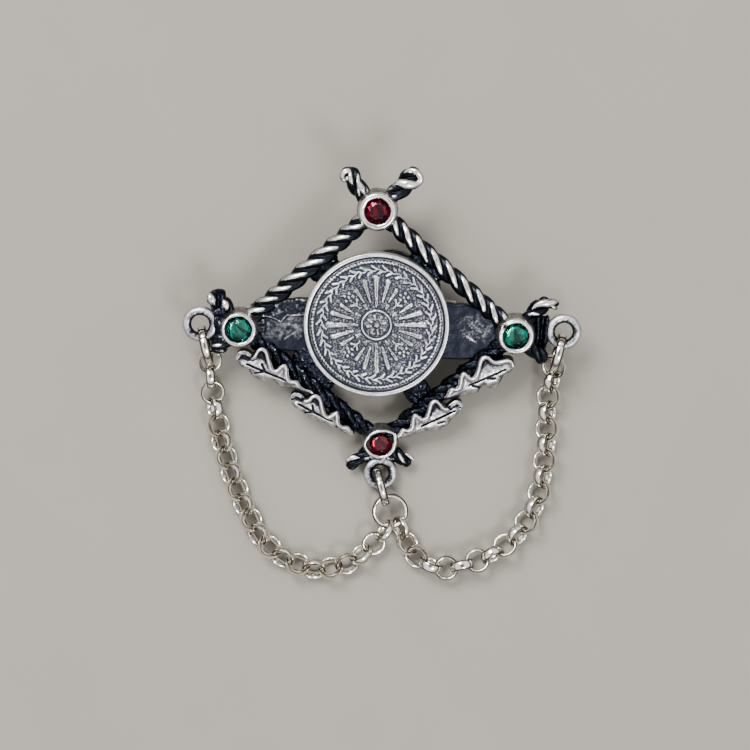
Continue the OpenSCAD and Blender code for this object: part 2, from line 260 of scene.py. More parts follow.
def publish(bm: BMesh, name: str, finish: bpy.types.Material, node: str,
            polish_and_light: PolishAndLight | None = None, seat: Matrix = SEAT,
            sharp: float | None = None) -> bpy.types.Object:
    """Args:
        bm: the piece in millimetres; it is freed.
        name: the piece's name.
        finish: its material.
        node: the CAD node that the piece stands for.
        polish_and_light: how the wheel met it and from which side painted light falls on it; without one the
            wear attribute, painted light and all, stays as the piece drew it.
        seat: the matrix that lays it in its place.
        sharp: the angle in degrees past which an edge stays crisp; 0 leaves all faces flat.

    Returns:
        The new object.
    """
    shade_layer(bm)
    bmesh.ops.remove_doubles(bm, verts=bm.verts, dist=SAME_PLACE)
    bmesh.ops.recalc_face_normals(bm, faces=bm.faces)
    mesh = bpy.data.meshes.new(name)
    bm.to_mesh(mesh)
    bm.free()
    mesh.polygons.foreach_set("use_smooth", [sharp != 0] * len(mesh.polygons))
    if sharp:
        mesh.set_sharp_from_angle(angle=math.radians(sharp))
    if polish_and_light:
        bake_polish_and_light(mesh, polish_and_light)
    mesh.transform(TO_METRES @ seat)
    mesh.materials.append(finish)
    piece = bpy.data.objects.new(name, mesh)
    bpy.context.scene.collection.objects.link(piece)
    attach(piece, "root")
    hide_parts(node)
    log.info("%s: %d vertices, %d faces", name, len(mesh.vertices), len(mesh.polygons))
    return piece


@dataclass
class CastPiece(ABC):
    """A piece of the casting, which has a shape, a way in which it was polished, and a side from which
    painted light falls on it.
    """

    name: str
    sharp: ClassVar[float | None] = None

    @abstractmethod
    def shape(self) -> BMesh:
        """Builds the mesh in millimetres."""

    @abstractmethod
    def polish_and_light(self) -> PolishAndLight:
        """Says how the wheel met the piece and from which side painted light falls on it."""

    def build(self, finish: bpy.types.Material) -> bpy.types.Object:
        """Args:
            finish: its material.

        Returns:
            The piece.
        """
        return publish(self.shape(), self.name, finish, "frame", self.polish_and_light(),
                       sharp=self.sharp)


# Materials


class Sheet:
    """Writes the nodes of one material or node group."""

    def __init__(self, tree: bpy.types.NodeTree) -> None:
        """Keeps the tree that the nodes go into."""
        self.tree = tree

    def feed(self, node: bpy.types.Node, sockets: dict) -> None:
        """Feeds the inputs of a node.

        Args:
            node: the node.
            sockets: input name or number to a value, or to the socket that feeds it.
        """
        for key, value in sockets.items():
            if isinstance(value, bpy.types.NodeSocket):
                self.tree.links.new(value, node.inputs[key])
            else:
                node.inputs[key].default_value = value

    def add(self, kind: str, sockets: dict | None = None, **settings: object) -> bpy.types.Node:
        """Adds a node.

        Args:
            kind: the node's type without its ShaderNode.
            sockets: what its inputs are fed with, as in feed.
            settings: the node's own properties.

        Returns:
            The node.
        """
        made = self.tree.nodes.new(kind if kind.startswith("Node") else "ShaderNode" + kind)
        for key, value in settings.items():
            setattr(made, key, value)
        self.feed(made, sockets or {})
        return made

    def spot(self) -> bpy.types.NodeSocket:
        """Gives the place on the object."""
        return self.add("TexCoord").outputs["Object"]

    def wear_and_light(self) -> bpy.types.NodeSocket:
        """Gives the attribute that the mesh carries: its wear, with painted light and shade in it."""
        return self.add("Attribute", attribute_name="wear_and_light", attribute_type="GEOMETRY").outputs["Fac"]

    def noise(self, scale: object, detail: float = 3.0, harsh: float = 0.55) -> bpy.types.NodeSocket:
        """Gives noise over the object, scale in lumps a metre."""
        return self.add("TexNoise", {"Vector": self.spot(), "Scale": scale, "Detail": detail,
                                     "Roughness": harsh}).outputs["Fac"]

    def sum(self, mode: str, a: object, b: object, clamp: bool = False) -> bpy.types.NodeSocket:
        """Works out one step of arithmetic."""
        return self.add("Math", {0: a, 1: b}, operation=mode, use_clamp=clamp).outputs[0]

    def swing(self, mask: object, amount: object) -> bpy.types.NodeSocket:
        """Turns a mask from 0 to 1 into a swing to both sides of 0."""
        return self.sum("MULTIPLY", self.sum("SUBTRACT", mask, 0.5), amount)

    def span(self, x: object, low: object, high: object, start: object = 0.0,
             end: object = 1.0) -> bpy.types.NodeSocket:
        """Runs smoothly from start to end while x goes from low to high.

        Args:
            x: the value that is read.
            low: where the result leaves start.
            high: where it reaches end.
            start: the result at low.
            end: the result at high.

        Returns:
            The result.
        """
        return self.add("MapRange", {"Value": x, "From Min": low, "From Max": high,
                                     "To Min": start, "To Max": end},
                        interpolation_type="SMOOTHSTEP").outputs["Result"]

    def blend(self, share: object, a: object, b: object) -> bpy.types.NodeSocket:
        """Mixes two colours by a share that changes over the surface."""
        return self.add("Mix", {0: share, 6: a, 7: b}, data_type="RGBA").outputs[2]

    def grain(self, group: bpy.types.NodeTree, values: Quad, strength: float,
              deep_mm: float) -> bpy.types.NodeSocket:
        """Gives the normal of a surface with the cast grain on it.

        Args:
            group: the shared grain group.
            values: the group's scale, sand, pits and scratches.
            strength: how strong the bump is.
            deep_mm: how deep the grain goes, in millimetres.

        Returns:
            The normal.
        """
        grain = self.add("Group", dict(zip(("Scale", "Sand", "Pits", "Scratches"), values)), node_tree=group)
        return self.add("Bump", {"Strength": strength, "Distance": deep_mm * 0.001,
                                 "Height": grain.outputs["Height"]}).outputs["Normal"]


def new_group(name: str, inputs: dict[str, float | Sequence[float]],
              outputs: dict[str, str]) -> tuple[Sheet, bpy.types.Node, bpy.types.Node]:
    """Starts a shader node group.

    Args:
        name: the group's name.
        inputs: name to default value, a colour where it has four numbers.
        outputs: name to socket type.

    Returns:
        The sheet to write on, the group's input node and its output node.
    """
    tree = bpy.data.node_groups.new(name, "ShaderNodeTree")
    for label, value in inputs.items():
        kind = "NodeSocketFloat" if isinstance(value, float) else "NodeSocketColor"
        tree.interface.new_socket(label, in_out="INPUT", socket_type=kind).default_value = value
    for label, kind in outputs.items():
        tree.interface.new_socket(label, in_out="OUTPUT", socket_type=kind)
    sheet = Sheet(tree)
    return sheet, sheet.add("NodeGroupInput"), sheet.add("NodeGroupOutput")


def new_material(name: str) -> tuple[bpy.types.Material, Sheet, bpy.types.Node]:
    """Starts a material.

    Args:
        name: the material's name.

    Returns:
        The material, the sheet to write on and its own shader.
    """
    material = bpy.data.materials.new(name)
    material.use_nodes = True
    return material, Sheet(material.node_tree), material.node_tree.nodes["Principled BSDF"]


def build_tarnish_group() -> bpy.types.NodeTree:
    """Builds the antique finish: dark skin in the hollows, bared metal on the crests, and the painted light
    and shade that the wear attribute brings.

    Returns:
        The group, with a colour, a roughness and the mask of bared metal and painted light.
    """
    sheet, given, out = new_group(
        "antique_skin",
        {"Wear And Light": 0.5, "Metal": (0.8, 0.8, 0.8, 1.0), "Skin": (0.02, 0.02, 0.03, 1.0),
         "Metal Roughness": 0.25, "Skin Roughness": 0.5, "Patch Scale": 900.0, "Patchiness": 0.4,
         "Speck Scale": 6000.0, "Specks": 0.2, "Edge Low": 0.3, "Edge High": 0.6},
        {"Color": "NodeSocketColor", "Roughness": "NodeSocketFloat", "Mask": "NodeSocketFloat"})
    ask = given.outputs
    patches = sheet.noise(ask["Patch Scale"], 4.0, 0.6)
    specks = sheet.noise(ask["Speck Scale"], 2.0, 0.7)
    # Wear brings bared metal and painted light together; patches and specks then vary it at random.
    patchy = sheet.sum("ADD", ask["Wear And Light"], sheet.swing(patches, ask["Patchiness"]))
    worn = sheet.sum("ADD", patchy, sheet.swing(specks, ask["Specks"]))
    mask = sheet.span(worn, ask["Edge Low"], ask["Edge High"])
    cloudy = sheet.span(patches, 0.35, 0.7, start=0.86)
    colour = sheet.blend(cloudy, (0.0, 0.0, 0.0, 1.0), sheet.blend(mask, ask["Skin"], ask["Metal"]))
    gloss = sheet.add("Mix", {0: mask, 2: ask["Skin Roughness"], 3: ask["Metal Roughness"]}).outputs[0]
    sheet.feed(out, {"Color": colour, "Mask": mask,
                     "Roughness": sheet.sum("ADD", gloss, sheet.swing(specks, 0.18), clamp=True)})
    return sheet.tree


def build_grain_group() -> bpy.types.NodeTree:
    """Builds the fine surface of a casting: sandy grain, small pits and a few scratches.

    Returns:
        The group, whose one output is a height from 0 to 1.
    """
    sheet, given, out = new_group(
        "cast_grain", {"Scale": 5000.0, "Sand": 0.5, "Pits": 0.3, "Scratches": 0.2},
        {"Height": "NodeSocketFloat"})
    ask = given.outputs
    sand = sheet.sum("MULTIPLY", sheet.noise(ask["Scale"], 3.0, 0.6), ask["Sand"])
    spot = sheet.spot()
    cells = sheet.add("TexVoronoi", {"Vector": spot, "Scale": sheet.sum("MULTIPLY", ask["Scale"], 0.22)})
    pits = sheet.sum("MULTIPLY", sheet.span(cells.outputs["Distance"], 0.05, 0.3), ask["Pits"])
    streak = sheet.add("Mapping", {"Vector": spot, "Rotation": (0.0, 0.0, 0.7), "Scale": (1.0, 14.0, 14.0)})
    lines = sheet.add("TexNoise", {"Vector": streak.outputs[0], "Scale": 700.0, "Detail": 2.0})
    scratches = sheet.sum("MULTIPLY", sheet.span(lines.outputs["Fac"], 0.62, 0.7), ask["Scratches"])
    sheet.feed(out, {"Height": sheet.sum("SUBTRACT", sheet.sum("ADD", sand, pits), scratches)})
    return sheet.tree


@dataclass(frozen=True)
class AntiqueFinish:
    """Antiqued metal: how bright its crests are, how dark its skin, and how the two meet."""

    name: str
    metal: Triple = (0.78, 0.77, 0.75)
    skin: Triple = (0.016, 0.018, 0.024)
    metal_rough: float = 0.24
    skin_rough: float = 0.45
    patch_scale: float = 900.0
    patchiness: float = 0.35
    speck_scale: float = 5000.0
    specks: float = 0.25
    edge: Pair = (0.35, 0.6)
    grain_scale: float = 4500.0
    sand: float = 0.5
    pits: float = 0.25
    scratches: float = 0.15
    bump: float = 0.25
    bump_mm: float = 0.02

    def make(self, groups: dict[str, bpy.types.NodeTree]) -> bpy.types.Material:
        """Makes the material.

        Args:
            groups: the shared node groups by name.

        Returns:
            The material.
        """
        material, sheet, shader = new_material(self.name)
        skin = sheet.add("Group", {
            "Wear And Light": sheet.wear_and_light(), "Metal": (*self.metal, 1.0), "Skin": (*self.skin, 1.0),
            "Metal Roughness": self.metal_rough, "Skin Roughness": self.skin_rough,
            "Patch Scale": self.patch_scale, "Patchiness": self.patchiness,
            "Speck Scale": self.speck_scale, "Specks": self.specks,
            "Edge Low": self.edge[0], "Edge High": self.edge[1]}, node_tree=groups["antique_skin"])
        grain = (self.grain_scale, self.sand, self.pits, self.scratches)
        sheet.feed(shader, {
            "Base Color": skin.outputs["Color"], "Roughness": skin.outputs["Roughness"],
            "Normal": sheet.grain(groups["cast_grain"], grain, self.bump, self.bump_mm),
            "Metallic": 1.0})
        return material


@dataclass(frozen=True)
class PlatedFinish:
    """Bright plated wire with faint smudges, and a dark film colour where the wear attribute is low.

    On links and rings that colour is painted shade, on their inner faces and beside their highlights.
    """

    name: str
    light: Triple = (0.83, 0.80, 0.74)
    dull: Triple = (0.62, 0.57, 0.49)
    # film: on links and rings, the colour of the painted shade.
    film_and_shade: Triple = (0.075, 0.06, 0.043)
    rough: Pair = (0.06, 0.16)
    film_rough: float = 0.2
    scale: float = 700.0
    grain: Quad = (2600.0, 0.3, 0.1, 0.4)
    bump: float = 0.12
    bump_mm: float = 0.01

    def make(self, groups: dict[str, bpy.types.NodeTree]) -> bpy.types.Material:
        """Makes the material.

        Args:
            groups: the shared node groups by name.

        Returns:
            The material.
        """
        material, sheet, shader = new_material(self.name)
        smudge = sheet.noise(self.scale, 3.0, 0.6)
        # Painted shade: the share of plate colour falls where the mesh asks for shade; smudges shift it a
        # little.
        plate_share = sheet.span(sheet.sum("ADD", sheet.wear_and_light(), sheet.sum("MULTIPLY", smudge, 0.2)), 0.2, 0.8)
        plate = sheet.blend(sheet.span(smudge, 0.4, 0.68), (*self.light, 1.0), (*self.dull, 1.0))
        gloss = sheet.span(smudge, 0.35, 0.7, *self.rough)
        filmed = sheet.span(plate_share, 0.0, 1.0, start=self.film_rough, end=0.0)
        sheet.feed(shader, {
            "Base Color": sheet.blend(plate_share, (*self.film_and_shade, 1.0), plate),
            "Roughness": sheet.sum("ADD", gloss, filmed),
            "Normal": sheet.grain(groups["cast_grain"], self.grain, self.bump, self.bump_mm),
            "Metallic": 1.0})
        return material


@dataclass(frozen=True)
class GemFinish:
    """A foiled stone: clear coloured glass over a mirror of the same colour, painted lighter and darker
    facet by facet as its reflections.
    """

    name: str
    glass: Triple
    # foil_light and foil_dark are a lit and a shaded copy of the foil's colour, for its painted reflections.
    foil_light: Triple
    foil_dark: Triple
    ior: float = 1.4
    shine: float = 0.25
    spark_scale: float = 2300.0
    spark: float = 0.9

    def make_glass(self) -> bpy.types.Material:
        """Makes the clear glass of the stone's crown.

        Returns:
            The material.
        """
        material, sheet, shader = new_material(self.name + "_glass")
        haze = sheet.noise(900.0, 2.0)
        tint = sheet.blend(sheet.span(haze, 0.3, 0.7), (*self.glass, 1.0),
                           (*(0.93 * c for c in self.glass), 1.0))
        sheet.feed(shader, {
            "Base Color": tint, "Roughness": sheet.span(haze, 0.3, 0.8, start=0.05, end=0.1),
            "Transmission Weight": 1.0, "Metallic": 0.0, "IOR": self.ior,
            "Specular IOR Level": self.shine})
        return material

    def make_foil(self) -> bpy.types.Material:
        """Makes the coloured mirror under the stone, with painted reflections: lighter and darker facets,
        and small lighter cells as painted glints.

        Returns:
            The material.
        """
        material, sheet, shader = new_material(self.name + "_foil")
        # Painted glints: small cells of the foil are lighter at random.
        cells = sheet.add("TexVoronoi", {"Vector": sheet.spot(), "Scale": self.spark_scale})
        sparks = sheet.sum("MULTIPLY", cells.outputs["Color"], self.spark)
        share = sheet.span(sheet.sum("ADD", sheet.wear_and_light(), sparks), 0.7, 1.5)
        sheet.feed(shader, {
            "Base Color": sheet.blend(share, (*self.foil_dark, 1.0), (*self.foil_light, 1.0)),
            "Roughness": sheet.span(share, 0.0, 1.0, start=0.2, end=0.1), "Metallic": 1.0})
        return material


# Coin


@dataclass
class Relief:
    """Raised strokes over a flat field, held as heights over many points at once.

    shoulder and cut say over which parts of its half width a stroke rises and a groove falls.
    """

    x: np.ndarray
    y: np.ndarray
    height: np.ndarray = field(init=False)
    shoulder: Pair = (1.4, 0.3)
    cut: Pair = (1.2, 0.4)

    def __post_init__(self) -> None:
        """Starts with a bare field."""
        self.height = np.zeros_like(self.x)

    def beside(self, a: Pair, b: Pair) -> tuple[np.ndarray, np.ndarray]:
        """Measures every point against a line.

        Args:
            a: where the line starts.
            b: where it ends.

        Returns:
            How far each point is from the line, and where along the line it is, from 0 to 1.
        """
        run = (b[0] - a[0], b[1] - a[1])
        long = max(run[0] ** 2 + run[1] ** 2, 1e-9)
        t = np.clip(((self.x - a[0]) * run[0] + (self.y - a[1]) * run[1]) / long, 0, 1)
        return np.hypot(self.x - a[0] - t * run[0], self.y - a[1] - t * run[1]), t

    def lift(self, tall: float, rise: np.ndarray) -> None:
        """Raises the field to tall wherever rise is 1, and less where it is less."""
        self.height = np.maximum(self.height, tall * rise)

    def stroke(self, a: Pair, b: Pair, wide: float, tall: float, taper: float = 1.0) -> None:
        """Raises a rounded stroke.

        Args:
            a: where it starts.
            b: where it ends.
            wide: its width at its start.
            tall: its height.
            taper: its width at its end as a part of the width at its start.
        """
        away, t = self.beside(a, b)
        half = 0.5 * wide * (1 + (taper - 1) * t)
        self.lift(tall, ease(*self.shoulder, away / half))

    def groove(self, a: Pair, b: Pair, wide: float, deep: float) -> None:
        """Cuts a narrow line of a given width and depth into what is raised already."""
        away, _ = self.beside(a, b)
        self.height = np.maximum(self.height - deep * ease(*self.cut, away / (0.5 * wide)), 0)

    def ring(self, radius: float, wide: float, tall: float) -> None:
        """Raises a round line of a given radius and width about the middle."""
        away = np.abs(np.hypot(self.x, self.y) - radius)
        self.lift(tall, ease(*self.shoulder, away / (0.5 * wide)))


@dataclass
class Coin:
    """The struck coin: smooth rim, groove, beads, and wreaths of leaves and plumes.

    groove lists rows of the section inside the rim, as places from the rim's inner edge and
    heights over the field. beads holds a count, a radius and a width, vine and petals a count, a
    radius, a length and a width, plumes rows of a lean in degrees, the radii of root and tip and
    a width, blossom its radius and its size, and medal the radius of the round line in the middle.
    """

    diameter: float = 20.0
    thick: float = 1.9
    base: float = 1.95
    relief: float = 0.25
    rim: float = 0.58
    groove: tuple[Pair, ...] = ((-0.2, -0.06), (-0.13, -0.1), (-0.06, -0.07), (0.0, 0.03), (0.07, 0.15))
    field_r: float = 9.12
    field_rows: int = 120
    steps: int = 560
    beads: tuple[int, float, float] = (116, 8.76, 0.34)
    vine: tuple[int, float, float, float] = (68, 7.6, 0.62, 0.46)
    stem: Pair = (0.17, 0.03)
    dark_line: Pair = (8.52, 0.3)
    plumes: tuple[Quad, ...] = (
        (-28.0, 3.6, 5.5, 0.6), (-14.5, 3.3, 6.2, 0.74), (0.0, 3.1, 6.5, 0.9), (14.5, 3.3, 6.2, 0.74),
        (28.0, 3.6, 5.5, 0.6))
    blossom: Pair = (5.35, 0.56)
    petals: tuple[int, float, float, float] = (12, 2.9, 0.6, 0.55)
    medal: float = 2.0
    rays: int = 8

    def profile(self) -> list[Pair]:
        """Lists the section from the middle of the face round to the middle of the back.

        Returns:
            Its (radius, height) rows: the field, the groove, the rim's inner and outer shoulders,
            the edge and the back.
        """
        r, top = self.diameter / 2, self.thick
        face = top - self.relief
        inner = r - self.rim
        rows = [(x, face) for x in np.linspace(0, self.field_r, self.field_rows)]
        rows += [(inner + x, face + z) for x, z in self.groove]
        rows += [(inner + 0.31 - 0.31 * math.cos(a), face + 0.12 + 0.13 * math.sin(a) ** 0.8)
                 for a in np.linspace(0.5, math.pi / 2, 6)]
        rows += [(r - 0.16 + 0.16 * math.sin(a), top - 0.2 + 0.2 * math.cos(a))
                 for a in np.linspace(0.0, math.pi / 2, 6)]
        return rows + [(r, 1.1), (r, 0.5), (r - 0.03, 0.12), (r - 0.15, 0.0), (0.0, 0.0)]

    @staticmethod
    def around(radius: float, turn: float) -> Pair:
        """Gives the point at a radius and an angle."""
        return radius * math.cos(turn), radius * math.sin(turn)

    @staticmethod
    def turns(count: int) -> list[float]:
        """Lists the angles of a full round of count forms."""
        return [2 * math.pi * i / count for i in range(count)]

    def strike(self, relief: Relief) -> None:
        """Draws the whole design into the relief, from the beads in to the middle.

        Args:
            relief: the relief that the design is drawn into.
        """
        spot = self.around
        h = self.relief
        count, at, size = self.beads
        for i, a in enumerate(self.turns(count)):
            wide = size * (0.9 + 0.1 * math.sin(5.0 * i))
            relief.stroke(spot(at - 0.04, a), spot(at + 0.06, a + 0.016), wide, 0.8 * h)
        relief.ring(at, 0.2, 0.16)
        self.strike_vine(relief)
        for turn in self.turns(4):
            self.strike_quarter(relief, turn)
        count, at, long, wide = self.petals
        for a in self.turns(count):
            relief.stroke(spot(at - long / 2, a), spot(at + long / 4, a), 0.6 * wide, 0.9 * h, 1.6)
            relief.groove(spot(at - 0.1, a), spot(at + 0.45, a), 0.12, 0.5 * h)
        relief.ring(self.medal, 0.3, h)
        relief.stroke((0, 0), (0, 0), 0.7, h)
        for a in self.turns(self.rays):
            relief.stroke(spot(0.75, a + 0.2), spot(1.25, a + 0.2), 0.3, 0.9 * h, 1.5)

    def strike_vine(self, relief: Relief) -> None:
        """Draws the running vine: a wavy stem with leaves on both sides in turn.

        Args:
            relief: the relief that the vine is drawn into.
        """
        spot = self.around
        count, at, long, wide = self.vine
        turn = np.arctan2(relief.y, relief.x)
        away = np.abs(np.hypot(relief.x, relief.y) - at - 0.14 * np.sin(0.5 * count * turn))
        relief.lift(0.6 * self.relief, ease(*self.stem, away))
        for i, a in enumerate(self.turns(count)):
            side = 1 if i % 2 else -1
            tall = self.relief * (0.75 + 0.2 * math.sin(2.3 * i))
            relief.stroke(spot(at + 0.16 * side, a), spot(at + long * side, a + 0.075), wide, tall, 0.75)

    def strike_quarter(self, relief: Relief, turn: float) -> None:
        """Draws one fan of plumes and the blossom beside it.

        Args:
            relief: the relief that they are drawn into.
            turn: the angle of the fan's middle.
        """
        spot = self.around
        h = self.relief
        for lean, root, tip, wide in self.plumes:
            a = turn + math.radians(lean)
            bent = a + 0.0012 * lean
            relief.stroke(spot(root, a), spot(tip, bent), 0.45 * wide, h, 2.2)
            relief.groove(spot(root + 0.7, a), spot(tip - 0.2, bent), 0.13, 0.5 * h)
        at, size = self.blossom
        stalk = turn + math.pi / 4
        middle = spot(at, stalk)
        relief.stroke(middle, middle, 0.44, h)
        for a in self.turns(5):
            x, y = spot(size, a + turn)
            end = (middle[0] + 1.1 * x, middle[1] + 1.1 * y)
            relief.stroke((middle[0] + x, middle[1] + y), end, 0.42, 0.85 * h)
        relief.stroke(spot(at - 2.1, stalk), spot(at - 0.9, stalk), 0.26, 0.75 * h, 0.8)
        for side in (-1, 1):
            relief.stroke(spot(at - 1.5, stalk), spot(at - 1.0, stalk + 0.13 * side), 0.3, 0.8 * h, 1.3)

    def build(self, finish: bpy.types.Material) -> bpy.types.Object:
        """Builds the coin as one spun mesh with its design raised on its face.

        Args:
            finish: the coin's material.

        Returns:
            The piece.
        """
        bm = spun(self.profile(), self.steps)
        wear_and_light = shade_layer(bm)
        face = self.thick - self.relief
        edge = self.field_r
        top = [v for v in bm.verts if v.co.z > face - 0.01 and v.co.xy.length < edge + 0.001]
        relief = Relief(np.array([v.co.x for v in top]), np.array([v.co.y for v in top]))
        self.strike(relief)
        for v in bm.verts:
            v[wear_and_light] = 0.66 + 0.2 * rough(v.co, 1.6, 4.0) + 0.3 * rough(v.co, 0.25, 8.0)
            v.co.z += 0.012 * rough(v.co, 1.3, 2.0)
        line, half = self.dark_line
        for v, h in zip(top, relief.height):
            mark = rough(v.co, 0.2, 5.0)
            lump = rough(v.co, 0.5, 1.0)
            lost = float(ease(-0.15, 0.45, rough(v.co, 2.2, 9.0)))
            shown = (1 - 0.5 * lost) * h * (0.82 + 0.4 * lump)
            v.co.z += shown + 0.03 * mark
            dark = float(ease(half, 0.0, abs(v.co.xy.length - line)))
            v[wear_and_light] = 0.22 + 0.5 * shown / self.relief + 0.16 * lump + 0.24 * mark - 0.22 * dark
        for v in bm.verts:
            if edge < v.co.xy.length < self.diameter / 2 - self.rim + 0.05 and v.co.z > 0.5:
                v[wear_and_light] = 0.2
        bmesh.ops.translate(bm, verts=bm.verts, vec=(0, 0, self.base))
        return publish(bm, "coin_struck", finish, "coin",
                       PolishAndLight(curve=0.25, passes=8, reach=0.03))


# Rods


@dataclass
class TwistedRod(CastPiece):
    """A rod of three strands through two corners, which runs on past both.

    crests lists where a strand lies on top, in millimetres from the first corner. girth lists
    (place, radius) rows, bare how bright the crests are along the rod, and bend how far the rod
    leaves its line to the left. cap is the length of the round ends, strand_part a strand's
    radius as a part of the rod's, spacing the strands' spacing past the last crest, and step and
    around how fine the mesh is.
    """

    first: Corner
    last: Corner
    before: float
    after: float
    crests: tuple[float, ...]
    girth: tuple[Pair, ...]
    bare: tuple[Pair, ...]
    # The side that painted light falls from, and the slopes towards it at which that light goes from none to
    # full.
    brush: Triple = LIGHT_SIDE
    lit_slopes: Pair = (0.72, 0.95)
    gnarl: float = 0.0
    bend: tuple[Pair, ...] = ((0.0, 0.0),)
    middle: float = 1.2
    cap: float = 1.15
    strands: int = 3
    strand_part: float = 0.545
    spacing: float = 2.7
    step: float = 0.12
    around: int = 60

    def phase(self, x: float) -> float:
        """Says how far the strands have turned.

        Args:
            x: a place along the rod.

        Returns:
            The angle there, with a strand on top at each of the crests.
        """
        places = self.crests
        share = 2 * math.pi / self.strands
        turns = [share * k for k in range(len(places))]
        past = min(x - places[0], 0) + max(x - places[-1], 0)
        return 0.5 * math.pi + float(np.interp(x, places, turns)) + share * past / self.spacing

    def section(self, turn: float) -> float:
        """Works out the lobed section.

        Args:
            turn: an angle from the top of a strand.

        Returns:
            The section's radius there, as a part of the rod's.
        """
        a, half = self.strand_part, math.pi / self.strands
        off = (turn + half) % (2 * half) - half
        middle = 1 - a
        return middle * math.cos(off) + math.sqrt(max(a * a - (middle * math.sin(off)) ** 2, 0))

    def tube(self, low: float, high: float) -> BMesh:
        """Screws a circle into a plain tube, whose rings turn with the strands.

        Args:
            low: where the tube starts along the rod.
            high: where it ends.

        Returns:
            The tube, which starts at x = 0.
        """
        bm = bmesh.new()
        bmesh.ops.create_circle(bm, segments=self.around, radius=1.0, cap_ends=False)
        bmesh.ops.rotate(bm, verts=bm.verts, cent=(0, 0, 0), matrix=Matrix.Rotation(math.pi / 2, 3, "Y"))
        steps = int((high - low) / self.step)
        bmesh.ops.spin(bm, geom=[*bm.verts, *bm.edges], cent=(0, 0, 0), axis=(1, 0, 0),
                       dvec=((high - low) / steps, 0, 0), steps=steps,
                       angle=2 * math.pi * (high - low) / (self.strands * self.spacing),
                       use_merge=False, use_duplicate=False)
        return bm

    def shape(self) -> BMesh:
        """Gives the tube's rings the strands' shape, and rounds its ends.

        Returns:
            The rod's mesh.
        """
        run = self.last.point - self.first.point
        low, high = -self.before - self.cap, run.length + self.after + self.cap
        bm = self.tube(low, high)
        wear_and_light = shade_layer(bm)
        groove = self.section(math.pi / self.strands)
        for v in bm.verts:
            x = low + v.co.x
            turn = math.atan2(v.co.z, v.co.y)
            size = between(self.girth, x)
            part = 1.0
            for end, inward in ((low, 1), (high, -1)):
                t = 1 - inward * (x - end) / size
                if t > 0:
                    part = math.cos(0.5 * math.pi * min(t, 1.0))
                    x = end + inward * size * (1 - math.sin(0.5 * math.pi * min(t, 1.0)))
            lobe = self.section(turn - self.phase(x))
            spot = Vector((x, math.cos(turn), math.sin(turn)))
            wild = 1 + 0.045 * rough(spot, 1.1, len(self.name)) + 0.02 * rough(spot, 0.35, 4.0)
            knots = rough(spot, 0.7, 11.0) + 0.6 * rough(spot, 0.3, 13.0)
            calm = 1 - 0.75 * float(ease(-1.4, -2.6, x) + ease(run.length + 1.4, run.length + 2.6, x))
            wild += self.gnarl * (knots - 0.5) * calm
            r = size * part * lobe * wild
            v.co = (x, r * math.cos(turn) + between(self.bend, x), r * math.sin(turn))
            crest = float(ease(0.45, 0.92, (lobe - groove) / (1 - groove)))
            shown = between(self.bare, x)
            v[wear_and_light] = crest * shown * (1 - 0.4 * rough(spot, 0.8, 6.0))
            v[wear_and_light] += 1.5 * self.gnarl * knots * (1 - shown)
        bmesh.ops.translate(bm, verts=bm.verts, vec=(0, 0, self.middle))
        bm.transform(Matrix.Translation(self.first.point)
                     @ Matrix.Rotation(math.atan2(run.y, run.x), 4, "Z"))
        for v in bm.verts:
            v.co.z = max(v.co.z, 0.0)
        return bm

    def polish_and_light(self) -> PolishAndLight:
        """Says how the wheel met the rod, and that its faces turned from the rod's light side are painted
        darker, so the strands are lit on that side only.
        """
        return PolishAndLight(facing=self.lit_slopes, brush=self.brush, curve=0.1, passes=10)


# Cups and stones


